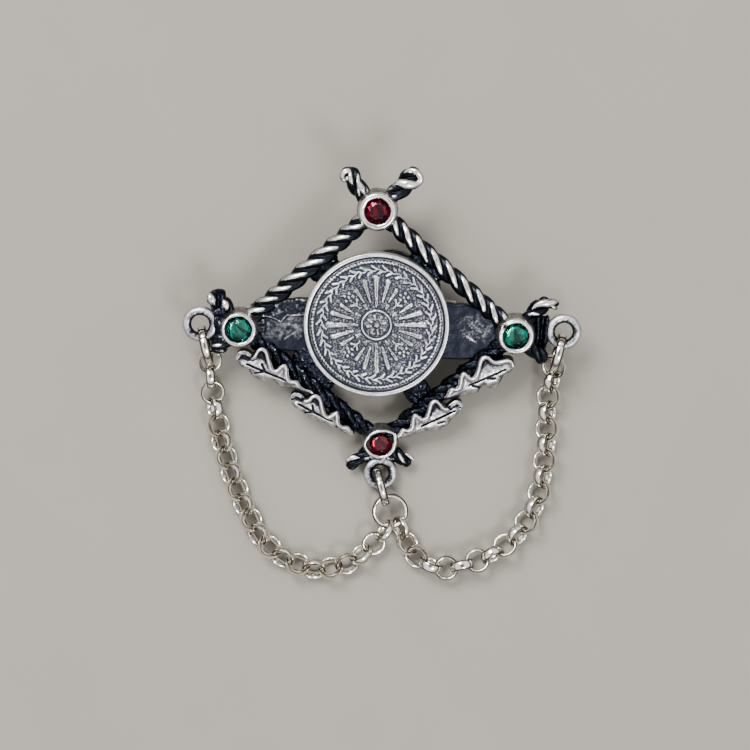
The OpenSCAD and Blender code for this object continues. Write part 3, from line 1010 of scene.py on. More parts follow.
@dataclass
class StoneCup(CastPiece):
    """The round cup of one stone, with a thick smooth rim.

    rim lists (angle in degrees, outer radius, inner radius), read round the cup. lip is the
    radius of the rim's outer edge, sink how far the ledge lies under the stone's top as a part of
    its width, ledge_part the ledge's radius as a part of the stone's width, shift how far the
    stone sits from the cup's middle, pit the place of a small hole in the rim, and pit_size its
    half width and its depth. The spun section has stand-in radii, by which its rows are known
    until they get the real ones: WALL and a share across the rim, LEDGE, and FLOOR inside it.
    """

    corner: Corner
    height: float
    stone: float
    stone_top: float
    rim: tuple[Triple, ...]
    shift: float = 0.0
    pit: Pair | None = None
    pit_size: Pair = (0.24, 0.4)
    lip: float = 0.42
    floor: float = 0.8
    sink: float = 0.249
    ledge_part: float = 0.41
    steps: int = 120
    sharp: ClassVar[float] = 50
    WALL: ClassVar[float] = 10.0
    LEDGE: ClassVar[float] = 5.0
    FLOOR: ClassVar[float] = 4.9

    def around(self, turn: float, column: int) -> float:
        """Reads one column of the rim table.

        Args:
            turn: an angle in degrees.
            column: 1 for the outer radius or 2 for the inner one.

        Returns:
            The radius there.
        """
        rows = [*self.rim, (self.rim[0][0] + 360, *self.rim[0][1:])]
        places = [row[0] for row in rows]
        return float(np.interp((turn - places[0]) % 360 + places[0], places, [row[column] for row in rows]))

    def section(self) -> list[Pair]:
        """Lists the cup's section from the foot of its wall to the middle of its floor.

        Returns:
            Rows of stand-in radius and height.
        """
        h, ledge, lip = self.height, self.stone_top - self.sink * self.stone, self.lip
        wall = [(1.0, 0.0), (1.0, 0.8), (1.0, 1.6), (1.0, h - 1.2), (1.0, h - 0.75), (1.0, h - lip)]
        wall += [(1.0 - lip * (1 - math.cos(a)), h - lip + lip * math.sin(a))
                 for a in np.linspace(0.2, math.pi / 2, 7)]
        wall += [(0.42, h - 0.01), (0.26, h - 0.03), (0.13, h - 0.08), (0.05, h - 0.16), (0.0, h - 0.3),
                 (0.0, h - 0.5), (0.0, ledge)]
        rows = [(self.WALL + share, z) for share, z in wall]
        return rows + [(self.LEDGE, ledge), (self.FLOOR, self.floor), (0.0, self.floor)]

    def shape(self) -> BMesh:
        """Spins the section, whose radii then follow the rim table.

        Returns:
            The cup's mesh.
        """
        h = self.height
        bm = spun(self.section(), self.steps)
        foot = [v for v in bm.verts if v.co.z < 1e-6]
        edges = [e for e in bm.edges if e.verts[0] in foot and e.verts[1] in foot]
        bmesh.ops.contextual_create(bm, geom=edges)
        wear_and_light = shade_layer(bm)
        pit_half, pit_deep = self.pit_size
        for v in bm.verts:
            r = v.co.xy.length
            z = v.co.z
            turn = math.degrees(math.atan2(v.co.y, v.co.x))
            unit = v.co.xy.normalized() if r > 1e-6 else Vector((0, 0))
            v[wear_and_light] = 0.95 - 0.55 * float(ease(h - 0.22, h - 0.6, z)) + 0.15 * rough(v.co, 1.4, 4.0)
            if r > self.WALL - 0.01:
                share = r - self.WALL
                outer, inner = self.around(turn, 1), self.around(turn, 2)
                outer += 0.02 + 0.24 * float(ease(h - 0.35, h - 1.3, z))
                outer += 0.04 * rough(Vector((unit.x, unit.y, z)), 0.9, 1.0)
                inner += 0.08 * rough(Vector((unit.x, unit.y, 0)), 0.35, 6.0)
                r = inner + share * (outer - inner)
                # Painted shade: the wall's inner face darkens down into the cup.
                if share < 0.02:
                    v[wear_and_light] = 0.3 * float(ease(h - 0.9, h - 0.25, z))
                dent = rough(Vector((2 * unit.x, 2 * unit.y, 0)), 0.8, 3.0)
                z += 0.03 * dent * float(ease(h - 0.5, h, z))
            elif r > 0.5 * (self.LEDGE + self.FLOOR):
                r, v[wear_and_light] = self.ledge_part * self.stone, 0.05
            elif r > 0.5:
                r, v[wear_and_light] = self.ledge_part * self.stone - 0.02, 0.0
            else:
                v[wear_and_light] = 0.0
            v.co = Vector((unit.x * r, unit.y * r, z))
            if self.pit and z > 0.5 * h:
                dip = bell((v.co.xy - Vector(self.pit)).length, pit_half)
                v.co.z -= pit_deep * dip
                v[wear_and_light] -= 1.3 * dip
        bm.transform(Matrix.Translation(self.corner.point))
        return bm

    def polish_and_light(self) -> PolishAndLight:
        """Says how the wheel met the cup."""
        return PolishAndLight(curve=0.08, passes=6)


@dataclass
class CutStone:
    """A round cut stone: a clear faceted crown over a foiled underside.

    crown, table, girdle and foot are parts of the stone's width: the crown's height, the table's
    radius, the girdle's thickness and the depth under it. half is half the turn between the
    corners of the girdle, in degrees.
    """

    name: str
    node: str
    cup: StoneCup
    slot: Slot
    turn: float = 0.0
    crown: float = 0.13
    table: float = 0.29
    girdle: float = 0.04
    foot: float = 0.38
    half: float = 11.25

    def facets(self, rows: Sequence[tuple[int, float, float, float]]) -> BMesh:
        """Wraps flat facets round rings of points.

        Args:
            rows: count, radius, height and turn in degrees of each ring; a count of 1 is a point.

        Returns:
            The closed mesh.
        """
        bm = bmesh.new()
        for count, radius, height, turn in rows:
            if count == 1:
                bm.verts.new((0, 0, height))
                continue
            place = Matrix.Translation((0, 0, height)) @ Matrix.Rotation(math.radians(turn), 4, "Z")
            bmesh.ops.create_circle(bm, segments=count, radius=radius, cap_ends=False, matrix=place)
        hull = bmesh.ops.convex_hull(bm, input=bm.verts)
        inside = [g for g in hull["geom_interior"] if isinstance(g, BMVert)]
        bmesh.ops.delete(bm, geom=inside, context="VERTS")
        bm.transform(Matrix.Translation(self.cup.corner.point + Vector((0, self.cup.shift, 0)))
                     @ Matrix.Rotation(math.radians(self.turn), 4, "Z"))
        return bm

    def build(self, glass: bpy.types.Material, foil: bpy.types.Material) -> list[bpy.types.Object]:
        """Builds the crown and the foiled underside.

        Args:
            glass: the crown's material.
            foil: the underside's material.

        Returns:
            Both pieces.
        """
        d, half = self.cup.stone, self.half
        top = self.cup.stone_top
        rim = top - self.crown * d
        crown = self.facets([
            (8, self.table * d, top, 0), (8, 0.405 * d, top - 0.055 * d, 2 * half),
            (16, 0.5 * d, rim, half), (16, 0.5 * d, rim - 0.5 * self.girdle * d, half),
            (16, 0.49 * d, rim - 0.9 * self.girdle * d, half)])
        under = rim - 1.0 * self.girdle * d - 0.01
        base = self.facets([
            (16, 0.475 * d, under, half), (16, 0.34 * d, under - 0.34 * self.foot * d, 0),
            (16, 0.19 * d, under - 0.66 * self.foot * d, half), (1, 0, under - 0.97 * self.foot * d, 0)])
        return [publish(crown, self.name + "_crown", glass, self.node, sharp=0),
                self.shade_facets(publish(base, self.name + "_foil", foil, self.node, sharp=0))]

    def shade_facets(self, piece: bpy.types.Object) -> bpy.types.Object:
        """Paints each facet of the underside a shade of its own: a painted reflection, lighter and darker
        facet by facet.

        Args:
            piece: the underside.

        Returns:
            The same piece.
        """
        mesh = piece.data
        middle = sum((v.co for v in mesh.vertices), Vector()) / len(mesh.vertices)
        shades = []
        for face in mesh.polygons:
            away = face.center - middle
            turn = math.atan2(away.y, away.x) - math.radians(self.turn)
            sector = math.floor(turn / math.radians(self.half))
            inner = away.xy.length < 0.17 * self.cup.stone * 0.001
            # Painted reflection: the facets' shades go up and down round the stone.
            shades.append(0.5 + 0.5 * math.sin(2.6 * sector + 4.0 * inner + self.turn))
        mesh.attributes.remove(mesh.attributes["wear_and_light"])
        mesh.attributes.new("wear_and_light", "FLOAT", "FACE").data.foreach_set("value", shades)
        return piece


# Leaves


@dataclass
class OakLeaf(CastPiece):
    """An oak leaf with a raised lobed edge towards the coin and a plainer outer half.

    inner and outer list (along, across) places from tip to stem; veins are short cuts. dark_tip
    and hollows say how dark the tip and how deep the lobes' hollows are. ridge holds how far the
    raised edge's crest lies inside the outline and how wide it is. soften is how often the lobed
    edge is smoothed, reach how many columns away its nearest place is looked for, and calm and
    even say how calmly and how evenly the columns leave the midrib.
    """

    tip: Pair
    stem: Pair
    inner: tuple[Pair, ...]
    outer: tuple[Pair, ...]
    veins: tuple[tuple[Pair, Pair], ...]
    dark_tip: float = 1.0
    hollows: float = 1.0
    ridge: Pair = (0.33, 0.36)
    top: float = 3.3
    foot: float = 0.5
    soften: int = 18
    reach: int = 26
    calm: int = 14
    even: float = 0.22
    columns: int = 190
    inner_rows: int = 26
    outer_rows: int = 14
    sharp: ClassVar[float] = 70

    def run(self) -> Vector:
        """Gives the way from the tip to the stem."""
        return Vector(self.stem) - Vector(self.tip)

    def flip(self) -> int:
        """Gives -1 for a leaf of the right side, whose halves lie the other way round."""
        return -1 if self.run().x < 0 else 1

    def inner_half(self, rib: Vector, edge: Sequence[Vector], i: int,
                   t: float) -> tuple[Vector, float, float]:
        """Works out a point of the half with the raised lobed edge.

        Args:
            rib: where the point's column leaves the midrib.
            edge: the lobed edge, with a place for each column.
            i: the column.
            t: how far the point is from the rib towards the edge, from 0 to 1.

        Returns:
            The point, its height and its wear.
        """
        flat = rib.lerp(edge[i], t)
        inset, half = self.ridge
        away = min((flat - q).length for q in edge[max(0, i - self.reach):i + self.reach + 1])
        ridge = bell(away - inset, half)
        room = np.clip(((edge[i] - rib).length - 0.7) / 1.3, 0, 1)
        deep = self.hollows * float(room * ease(6.2, 4.4, flat.x))
        hollow = deep * float(ease(0.56, 0.86, away)) * float(ease(0.25, 0.62, t))
        tip = self.dark_tip * float(ease(1.75, 1.2, flat.x)) * float(ease(0.12, 0.4, t))
        z = self.top - 0.55 + 0.55 * ridge * (1 - 0.6 * tip) - 0.34 * hollow - 0.2 * tip
        bare = 0.5 + 0.55 * ridge - 0.5 * hollow - tip * (0.3 + 0.35 * ridge)
        return flat, z, bare + 0.14 * rough(flat, 0.4, 5.0) + 0.1 * rough(flat, 0.18, 7.0)

    def outer_half(self, rib: Vector, foot: Vector, t: float) -> tuple[Vector, float, float]:
        """Works out a point of the plainer half.

        Args:
            rib: where the point's column leaves the midrib.
            foot: where the column meets the outer edge.
            t: how far the point is from the rib towards the edge, from 0 to 1.

        Returns:
            The point, its height and its wear.
        """
        flat = rib.lerp(foot, t)
        z = self.top - 0.52 - 0.25 * t - 0.85 * t ** 3 + 0.12 * rough(flat, 0.9, 2.0)
        return flat, z, 0.6 - 0.2 * t + 0.28 * rough(flat, 0.7, 8.0) + 0.12 * rough(flat, 0.2, 3.0)

    def shape(self) -> BMesh:
        """Lays a grid between the leaf's edges and draws it down to a flat underside.

        Returns:
            The leaf's mesh.
        """
        run = self.run()
        edge = flowing(self.inner, self.columns + 1)
        for _ in range(self.soften):
            edge = [edge[0], *((a + 2 * b + c) / 4 for a, b, c in zip(edge, edge[1:], edge[2:])), edge[-1]]
        low = [(p.x, p.y) for p in flowing(self.outer, 80)]
        mids = [0.12 + (run.length - 0.2) * float(t) for t in self.rib_places(edge, run.length)]
        rows = self.inner_rows + self.outer_rows
        bm = bmesh.new()
        bmesh.ops.create_grid(bm, x_segments=self.columns, y_segments=rows, size=0.5)
        wear_and_light = shade_layer(bm)
        cuts = [(Vector(a).to_3d(), Vector(b).to_3d()) for a, b in self.veins]
        for v in bm.verts:
            i = round((v.co.x + 0.5) * self.columns)
            j = round((v.co.y + 0.5) * rows) - self.outer_rows
            rib = Vector((mids[i], 0.05 + 0.02 * mids[i], 0))
            if j >= 0:
                flat, z, bare = self.inner_half(rib, edge, i, (j / self.inner_rows) ** 0.9)
            else:
                foot = Vector((mids[i], between(low, mids[i]), 0))
                flat, z, bare = self.outer_half(rib, foot, -j / self.outer_rows)
            cut = max(bell(near(flat, a, b), 0.13) for a, b in cuts)
            v[wear_and_light] = bare - cut
            z += 0.035 * rough(flat, 0.5, 3.0) - 0.02 * flat.x - 0.3 * cut
            v.co = Vector((flat.x, flat.y, z))
        rim = [e for e in bm.edges if e.is_boundary]
        # The walls get little bared metal and are painted darker towards their foot, as shade.
        for drop, bare in ((0.0, 0.4), (0.5, 0.4), (0.8, 0.2), (1.0, 0.2)):
            verts, rim = drawn_edge(bm, rim)
            for v in verts:
                v.co.z += (self.foot - v.co.z) * drop if drop else -0.15
                v[wear_and_light] = bare
        bmesh.ops.contextual_create(bm, geom=rim)
        bmesh.ops.scale(bm, vec=(1, self.flip(), 1), verts=bm.verts)
        bm.transform(Matrix.Translation((*self.tip, 0)) @ Matrix.Rotation(math.atan2(run.y, run.x), 4, "Z"))
        return bm

    def polish_and_light(self) -> PolishAndLight:
        """Says how the wheel met the leaf, and that its faces turned from the light side, which leans to one
        side of the leaf, are painted darker.
        """
        return PolishAndLight(facing=(0.05, 0.6), brush=(0.3 * self.flip(), -0.3, 0.9), curve=0.25, passes=8)

    def rib_places(self, edge: Sequence[Vector], length: float) -> np.ndarray:
        """Works out where each place of the edge meets the midrib.

        Args:
            edge: the lobed edge.
            length: the leaf's length.

        Returns:
            The places on the midrib, as parts of the length.
        """
        along = np.clip(np.array([p.x for p in edge]) / length, 0, 1)
        padded = np.pad(np.maximum.accumulate(along), self.calm, mode="edge")
        window = 2 * self.calm + 1
        mixed = (1 - self.even) * np.convolve(padded, np.ones(window) / window, "valid")
        mixed += self.even * np.linspace(0, 1, len(edge))
        return (mixed - mixed[0]) / (mixed[-1] - mixed[0])


# Casting's other forms


@dataclass
class CastLump(CastPiece):
    """A rough lump of the casting: overlapping balls melted into one skin.

    balls lists the middle, radii and turn in degrees of each. grain is how fine the skin is,
    noise_mm and noise_size how tall and how wide its lumps are, base and curve how bare the metal
    is and how much more so on its crests, and flat the height under which nothing goes.
    """

    balls: tuple[tuple[Triple, Triple, float], ...]
    grain: float = 0.12
    noise_mm: float = 0.12
    noise_size: float = 0.8
    base: float = 0.2
    flat: float = -9.0
    curve: float = 0.6

    def melted(self) -> BMesh:
        """Melts the balls into one even skin.

        Returns:
            The skin, smoothed.
        """
        bm = bmesh.new()
        for middle, radii, turn in self.balls:
            place = (Matrix.Translation(middle) @ Matrix.Rotation(math.radians(turn), 4, "Z")
                     @ Matrix.Diagonal((*radii, 1.0)))
            bmesh.ops.create_icosphere(bm, subdivisions=3, radius=1.0, matrix=place)
        mesh = bpy.data.meshes.new(self.name + "_draft")
        bm.to_mesh(mesh)
        bm.free()
        draft = bpy.data.objects.new(self.name + "_draft", mesh)
        bpy.context.scene.collection.objects.link(draft)
        melt = draft.modifiers.new("melt", "REMESH")
        melt.mode = "VOXEL"
        melt.voxel_size = self.grain
        solid = draft.evaluated_get(bpy.context.evaluated_depsgraph_get())
        skin = bmesh.new()
        skin.from_mesh(solid.to_mesh())
        solid.to_mesh_clear()
        bpy.data.objects.remove(draft)
        bpy.data.meshes.remove(mesh)
        for _ in range(3):
            bmesh.ops.smooth_vert(skin, verts=skin.verts, factor=0.5, use_axis_x=True, use_axis_y=True,
                                  use_axis_z=True)
        skin.normal_update()
        return skin

    def shape(self) -> BMesh:
        """Gives the melted skin its lumps.

        Returns:
            The lump's mesh.
        """
        skin = self.melted()
        wear_and_light = shade_layer(skin)
        for v in skin.verts:
            push = rough(v.co, self.noise_size, 3.0) + 0.5 * rough(v.co, 0.45 * self.noise_size, 8.0)
            v[wear_and_light] = self.base + 0.3 * push
            v.co += v.normal * self.noise_mm * push
            v.co.z = max(v.co.z, self.flat)
        return skin

    def polish_and_light(self) -> PolishAndLight:
        """Says how the wheel met the lump, and that its faces turned from the light side are painted darker.
        """
        return PolishAndLight(facing=(0.3, 0.9), curve=self.curve, passes=10, reach=0.08)


@dataclass
class Crest(CastPiece):
    """A smooth bright crest that follows a bent line over a tip of the casting.

    path lists (x, y, height, half width) rows along the line, bare is how bright it is, and tall
    its height as a part of its width.
    """

    path: tuple[Quad, ...]
    bare: float = 0.85
    tall: float = 0.8
    steps: int = 56
    sides: int = 20

    def shape(self) -> BMesh:
        """Draws a circle out along the line, and closes it at both ends.

        Returns:
            The crest's mesh.
        """
        line = flowing([row[:3] for row in self.path], self.steps + 1)
        places = np.linspace(0, 1, len(self.path))
        halves = [row[3] for row in self.path]
        bm = bmesh.new()
        bmesh.ops.create_cone(bm, cap_ends=True, segments=self.sides, radius1=1.0, radius2=1.0, depth=1.0)
        lengthwise = [e for e in bm.edges if abs(e.verts[0].co.z - e.verts[1].co.z) > 0.5]
        bmesh.ops.subdivide_edges(bm, edges=lengthwise, cuts=self.steps - 1, use_grid_fill=True)
        wear_and_light = shade_layer(bm)
        for v in bm.verts:
            along = v.co.z + 0.5
            k = min(int(along * self.steps), self.steps - 1)
            spot = line[k].lerp(line[k + 1], along * self.steps - k)
            ahead = (line[k + 1] - line[k]).normalized()
            across = Vector((0, 0, 1)).cross(ahead).normalized()
            up = ahead.cross(across)
            fade = math.sqrt(max(1 - abs(2 * along - 1) ** 6, 0.02))
            half = float(np.interp(along, places, halves)) * fade
            half *= 1 + 0.14 * rough(spot, 0.7, 3.0)
            turn = math.atan2(v.co.y, v.co.x)
            v.co = spot + (across * math.cos(turn) + up * (self.tall * math.sin(turn))) * half
            v[wear_and_light] = self.bare + 0.25 * rough(v.co, 0.5, 2.0) + 0.2 * rough(v.co, 0.2, 6.0)
        return bm

    def polish_and_light(self) -> PolishAndLight:
        """Says how the wheel met the crest, and that its faces turned from the light side are painted
        darker.
        """
        return PolishAndLight(facing=(0.2, 0.75), curve=0.1, passes=6)


@dataclass
class Eye(CastPiece):
    """A round eye cast on the frame, which a jump ring goes through."""

    middle: Pair
    outer: float = 4.9
    wire: float = 1.2
    height: float = 1.6
    bare: float = 0.4
    steps: int = 96
    section: int = 24

    def shape(self) -> BMesh:
        """Spins a ring and gives it a dented, sandy skin, with a painted highlight round its outer side and
        painted shade round its hole.

        Returns:
            The eye's mesh.
        """
        centre = (self.outer - self.wire) / 2
        half = self.wire / 2
        turns = np.linspace(0, 2 * math.pi, self.section, endpoint=False)
        rows = [(centre + half * math.cos(a), half * math.sin(a)) for a in turns]
        bm = spun(rows, self.steps, closed=True)
        bm.normal_update()
        wear_and_light = shade_layer(bm)
        for v in bm.verts:
            push = rough(v.co, 0.9, 2.0 + len(self.name))
            fine = rough(v.co, 0.3, 5.0)
            side = (v.co.xy.length - centre) / half
            # Painted light: the ring's outer side is lighter, as a highlight, and its side towards the hole
            # darker, as shade.
            v[wear_and_light] = self.bare + 0.22 * push + 0.26 * fine + 0.35 * float(ease(0.0, 0.6, side))
            v[wear_and_light] -= 0.4 * float(ease(-0.1, -0.9, side))
            v.co += v.normal * (0.05 * push + 0.02 * fine - 0.03)
        bm.transform(Matrix.Translation((*self.middle, self.height)))
        return bm

    def polish_and_light(self) -> PolishAndLight:
        """Says how the wheel met the eye, and that its faces turned from the light side are painted darker.
        """
        return PolishAndLight(facing=(-0.1, 0.7), curve=0.1, passes=6)


@dataclass
class Band(CastPiece):
    """The textured band behind the coin, with its stepped left plate and hammered right one.

    edges lists rows of a place along the band, its upper and its lower edge there. waves holds
    how tall and how long the edges' waves are, and worn how deep and how wide they are rounded.
    step_line is the raised step of the left plate, ribs the heights of the small ribs at its end,
    and scuff and scratch bright marks on the two plates.
    """

    name: str = "band_textured"
    edges: tuple[Triple, ...] = ((-17.4, 2.4, -3.4), (-12, 3.2, -4.2), (0, 3.2, -4.6),
                                 (12, 2.4, -5.4), (17.6, 1.4, -5))
    waves: Pair = (0.18, 1.3)
    worn: Pair = (0.2, 0.15)
    thick: float = 1.4
    columns: int = 300
    rows: int = 84
    step_line: tuple[Pair, ...] = ((-15.2, 0.75), (-14.2, 0.45), (-13.2, -0.1), (-12.4, 0.85), (-10.2, 0.9))
    ribs: Triple = (1.15, 0.1, -0.95)
    ribs_at: float = -15.9
    scuff: tuple[Triple, Triple] = ((-12.6, -2.3, 0), (-11.2, -1.4, 0))
    scratch: tuple[Triple, Triple] = ((12.5, -2.0, 0), (13.6, -2.75, 0))
    shine_at: Pair = (14.0, -0.9)
    sharp: ClassVar[float] = 60

    def left_plate(self, x: float, y: float) -> Pair:
        """Works out what the step, with a painted highlight along its edge, the ribs and the wear add on the
        left plate.

        Args:
            x: place along the band.
            y: place across it.

        Returns:
            Height and wear.
        """
        spot = Vector((x, y, 0))
        step = between(self.step_line, x)
        above = float(ease(step - 0.08, step + 0.1, y))
        inside = float(ease(-16.2, -15.5, x))
        z = 0.3 * above * inside + 0.14 * above * rough(spot, 0.5, 6.0)
        # Painted highlight: a bright line along the edge of the step.
        wear_and_light = 1.5 * bell(y - step - 0.05, 0.1) * inside - 0.1 * above
        wear_and_light += 0.35 * above * max(rough(spot, 0.3, 12.0), -0.4)
        wear_and_light += 0.06 * (1 - above) * float(ease(-2.6, -1.0, y)) - 0.3 * float(ease(-2.0, -3.4, y))
        wear_and_light += 0.3 * bell(near(spot, *map(Vector, self.scuff)), 0.07)
        for rib in self.ribs:
            d = max(abs(x - self.ribs_at) / 0.62, abs(y - rib) / 0.46)
            z += 0.32 * float(ease(1.05, 0.6, d))
            wear_and_light += 0.06 * rough(spot, 0.5, 9.0) - 0.12 * float(ease(1.3, 0.9, d))
        return z, wear_and_light

    def right_plate(self, x: float, y: float, fine: float) -> float:
        """Works out what the wear adds on the right plate.

        Args:
            x: place along the band.
            y: place across it.
            fine: the fine noise there.

        Returns:
            The wear.
        """
        shine = bell(x - self.shine_at[0], 1.9) * bell(y - self.shine_at[1], 1.8)
        wear_and_light = 0.17 * shine + 0.16 * shine * fine - 0.09
        wear_and_light += 0.6 * bell(near(Vector((x, y, 0)), *map(Vector, self.scratch)), 0.08)
        return wear_and_light - 0.2 * float(ease(-2.6, -4.2, y)) - 0.15 * float(ease(0.6, 1.6, y))

    def height(self, x: float, y: float) -> Pair:
        """Works out the band's surface.

        Args:
            x: place along the band.
            y: place across it.

        Returns:
            Height over the band's plane, and how bare the metal is there.
        """
        spot = Vector((x, y, 0))
        coarse, fine = rough(spot, 1.0, 1.0), rough(spot, 0.28, 4.0)
        z, wear_and_light = self.left_plate(x, y) if x < 0 else (0.0, self.right_plate(x, y, fine))
        return z + 0.06 * coarse + 0.02 * fine, wear_and_light + 0.18 + 0.08 * coarse + 0.09 * fine

    def shape(self) -> BMesh:
        """Lays a grid between the band's edges, raises it and draws it down to its flat back.

        Returns:
            The band's mesh.
        """
        bm = bmesh.new()
        bmesh.ops.create_grid(bm, x_segments=self.columns, y_segments=self.rows, size=0.5)
        wear_and_light = shade_layer(bm)
        upper = [(x, top) for x, top, _ in self.edges]
        lower = [(x, foot) for x, _, foot in self.edges]
        start, end = self.edges[0][0], self.edges[-1][0]
        (tall, long), (deep, wide) = self.waves, self.worn
        for v in bm.verts:
            x = start + (v.co.x + 0.5) * (end - start)
            top = between(upper, x) + tall * rough(Vector((x, 5, 0)), long, 2.0)
            foot = between(lower, x) + tall * rough(Vector((x, -5, 0)), long, 3.0)
            y = foot + (v.co.y + 0.5) * (top - foot)
            lift, bare = self.height(x, y)
            rounded = deep * math.exp(-min(y - foot, top - y) / wide)
            v[wear_and_light] = bare
            v.co = Vector((x, y, self.thick - 0.05 + lift - rounded))
        rim = [e for e in bm.edges if e.is_boundary]
        for z in (self.thick / 2, 0.0):
            verts, rim = drawn_edge(bm, rim)
            for v in verts:
                v.co.z = z
                v[wear_and_light] = 0.1
        bmesh.ops.contextual_create(bm, geom=rim)
        return bm

    def polish_and_light(self) -> PolishAndLight:
        """Says how the wheel met the band, and that its faces turned from the light side are painted darker.
        """
        return PolishAndLight(facing=(0.2, 0.7), curve=0.2, passes=6)


@dataclass
class CoinSeat(CastPiece):
    """The round seat under the coin, whose rough edge shows beside it.

    proud holds the angles in degrees between which the seat's ragged edge stands out.
    """

    name: str = "coin_seat"
    radius: float = 9.7
    ragged: float = 10.3
    proud: Quad = (18, 34, 74, 92)
    thick: float = 1.9
    steps: int = 300

    def shape(self) -> BMesh:
        """Spins a disc and gives it a ragged edge.

        Returns:
            The seat's mesh.
        """
        r, t = self.radius, self.thick
        bm = spun([(0, t), (8.4, t), (9.2, t), (r - 0.25, t), (r - 0.08, t - 0.08), (r, t - 0.3),
                   (r, t - 0.8), (r, 0.6), (r, 0.15), (r - 0.15, 0), (0, 0)], self.steps)
        wear_and_light = shade_layer(bm)
        start, full, still, end = self.proud
        for v in bm.verts:
            v[wear_and_light] = 0.08
            if v.co.xy.length > 9.0:
                turn = math.degrees(math.atan2(v.co.y, v.co.x))
                proud = float(ease(start, full, turn)) * float(ease(end, still, turn))
                size = 1 + proud * (self.ragged / self.radius - 1)
                v.co.xy *= size * (1 + 0.01 * rough(v.co, 1.1, 2.0) + 0.008 * rough(v.co, 0.5, 5.0))
                if v.co.z > 1.0:
                    v.co.z = min(v.co.z + 0.05 * rough(v.co, 0.7, 3.0) - 0.4 * proud, t + 0.02)
        return bm

    def polish_and_light(self) -> PolishAndLight:
        """Says how the wheel met the seat, and that its faces turned from the light side are painted darker.
        """
        return PolishAndLight(facing=(0.2, 0.8), curve=0.2, passes=6)


# Rings and chains


@dataclass(frozen=True)
class WireRing:
    """A ring of wire: a spun section with a hair-thin joint where its ends meet.

    seam is the angle of that joint, and joint how much the wire narrows there and over what half
    width. square says how flat the wire is inside, film how much painted shade lies on its inner
    face, and shaded_edge between which parts of the half width its outer edges are painted dark, as
    shade beside the highlight.
    """

    outer: float
    wire: float
    width: float
    seam: float = 0.0
    steps: int = 120
    section: int = 24
    square: float = 0.3
    film_and_shade: float = 0.3
    joint: Pair = (0.22, 0.09)
    shaded_edge: Pair = (0.36, 0.66)

    def mesh(self) -> BMesh:
        """Builds the ring round the upright axis, about its own middle.

        Returns:
            The ring's mesh.
        """
        centre = (self.outer - self.wire) / 2
        rows = []
        for a in np.linspace(0, 2 * math.pi, self.section, endpoint=False):
            c, s = math.cos(a), math.sin(a)
            flat = self.square if c < 0 else 0.2 * self.square
            c = math.copysign(abs(c) ** (1 - 0.5 * flat), c)
            s = math.copysign(abs(s) ** (1 - 0.5 * flat), s)
            rows.append((centre + 0.5 * self.wire * c, 0.5 * self.width * s))
        bm = spun(rows, self.steps, closed=True)
        wear_and_light = shade_layer(bm)
        for v in bm.verts:
            side = (v.co.xy.length - centre) / (0.5 * self.wire)
            # Painted shade: the inner face is darkened by the film share, and the band's outer edges beside
            # the highlight are darkened too.
            shaded_flank = float(ease(*self.shaded_edge, abs(v.co.z) / (0.5 * self.width)) * ease(-0.3, 0.2, side))
            v[wear_and_light] = 1 - self.film_and_shade * float(ease(0.1, -0.7, side)) - 0.9 * shaded_flank
            turn = math.atan2(v.co.y, v.co.x) - self.seam
            off = abs(math.atan2(math.sin(turn), math.cos(turn))) * centre
            pinch = 1 - self.joint[0] * bell(off, self.joint[1])
            r = v.co.xy.length
            v.co.xy *= (centre + (r - centre) * pinch) / r
            v.co.z *= pinch
        return bm


@dataclass
class JumpRing:
    """A round wire ring that stands or leans at its own place in the lying part.

    heading is its turn and slope its lean in degrees; without a slope it stands.
    """

    name: str
    node: str
    middle: Triple
    heading: float
    outer: float = 5.6
    wire: float = 0.8
    width: float = 1.22
    slope: float | None = None
    seam: float = 2.0

    def build(self, finish: bpy.types.Material) -> bpy.types.Object:
        """Builds the ring in its place.

        Args:
            finish: its material.

        Returns:
            The piece.
        """
        bm = WireRing(self.outer, self.wire, self.width, self.seam).mesh()
        place = Matrix.Translation(self.middle) @ Matrix.Rotation(math.radians(self.heading), 4, "Z")
        if self.slope is None:
            place = place @ Matrix.Rotation(math.pi / 2, 4, "X")
        else:
            place = place @ Matrix.Rotation(math.radians(self.slope), 4, "Y")
        return publish(bm, self.name, finish, self.node, seat=place)


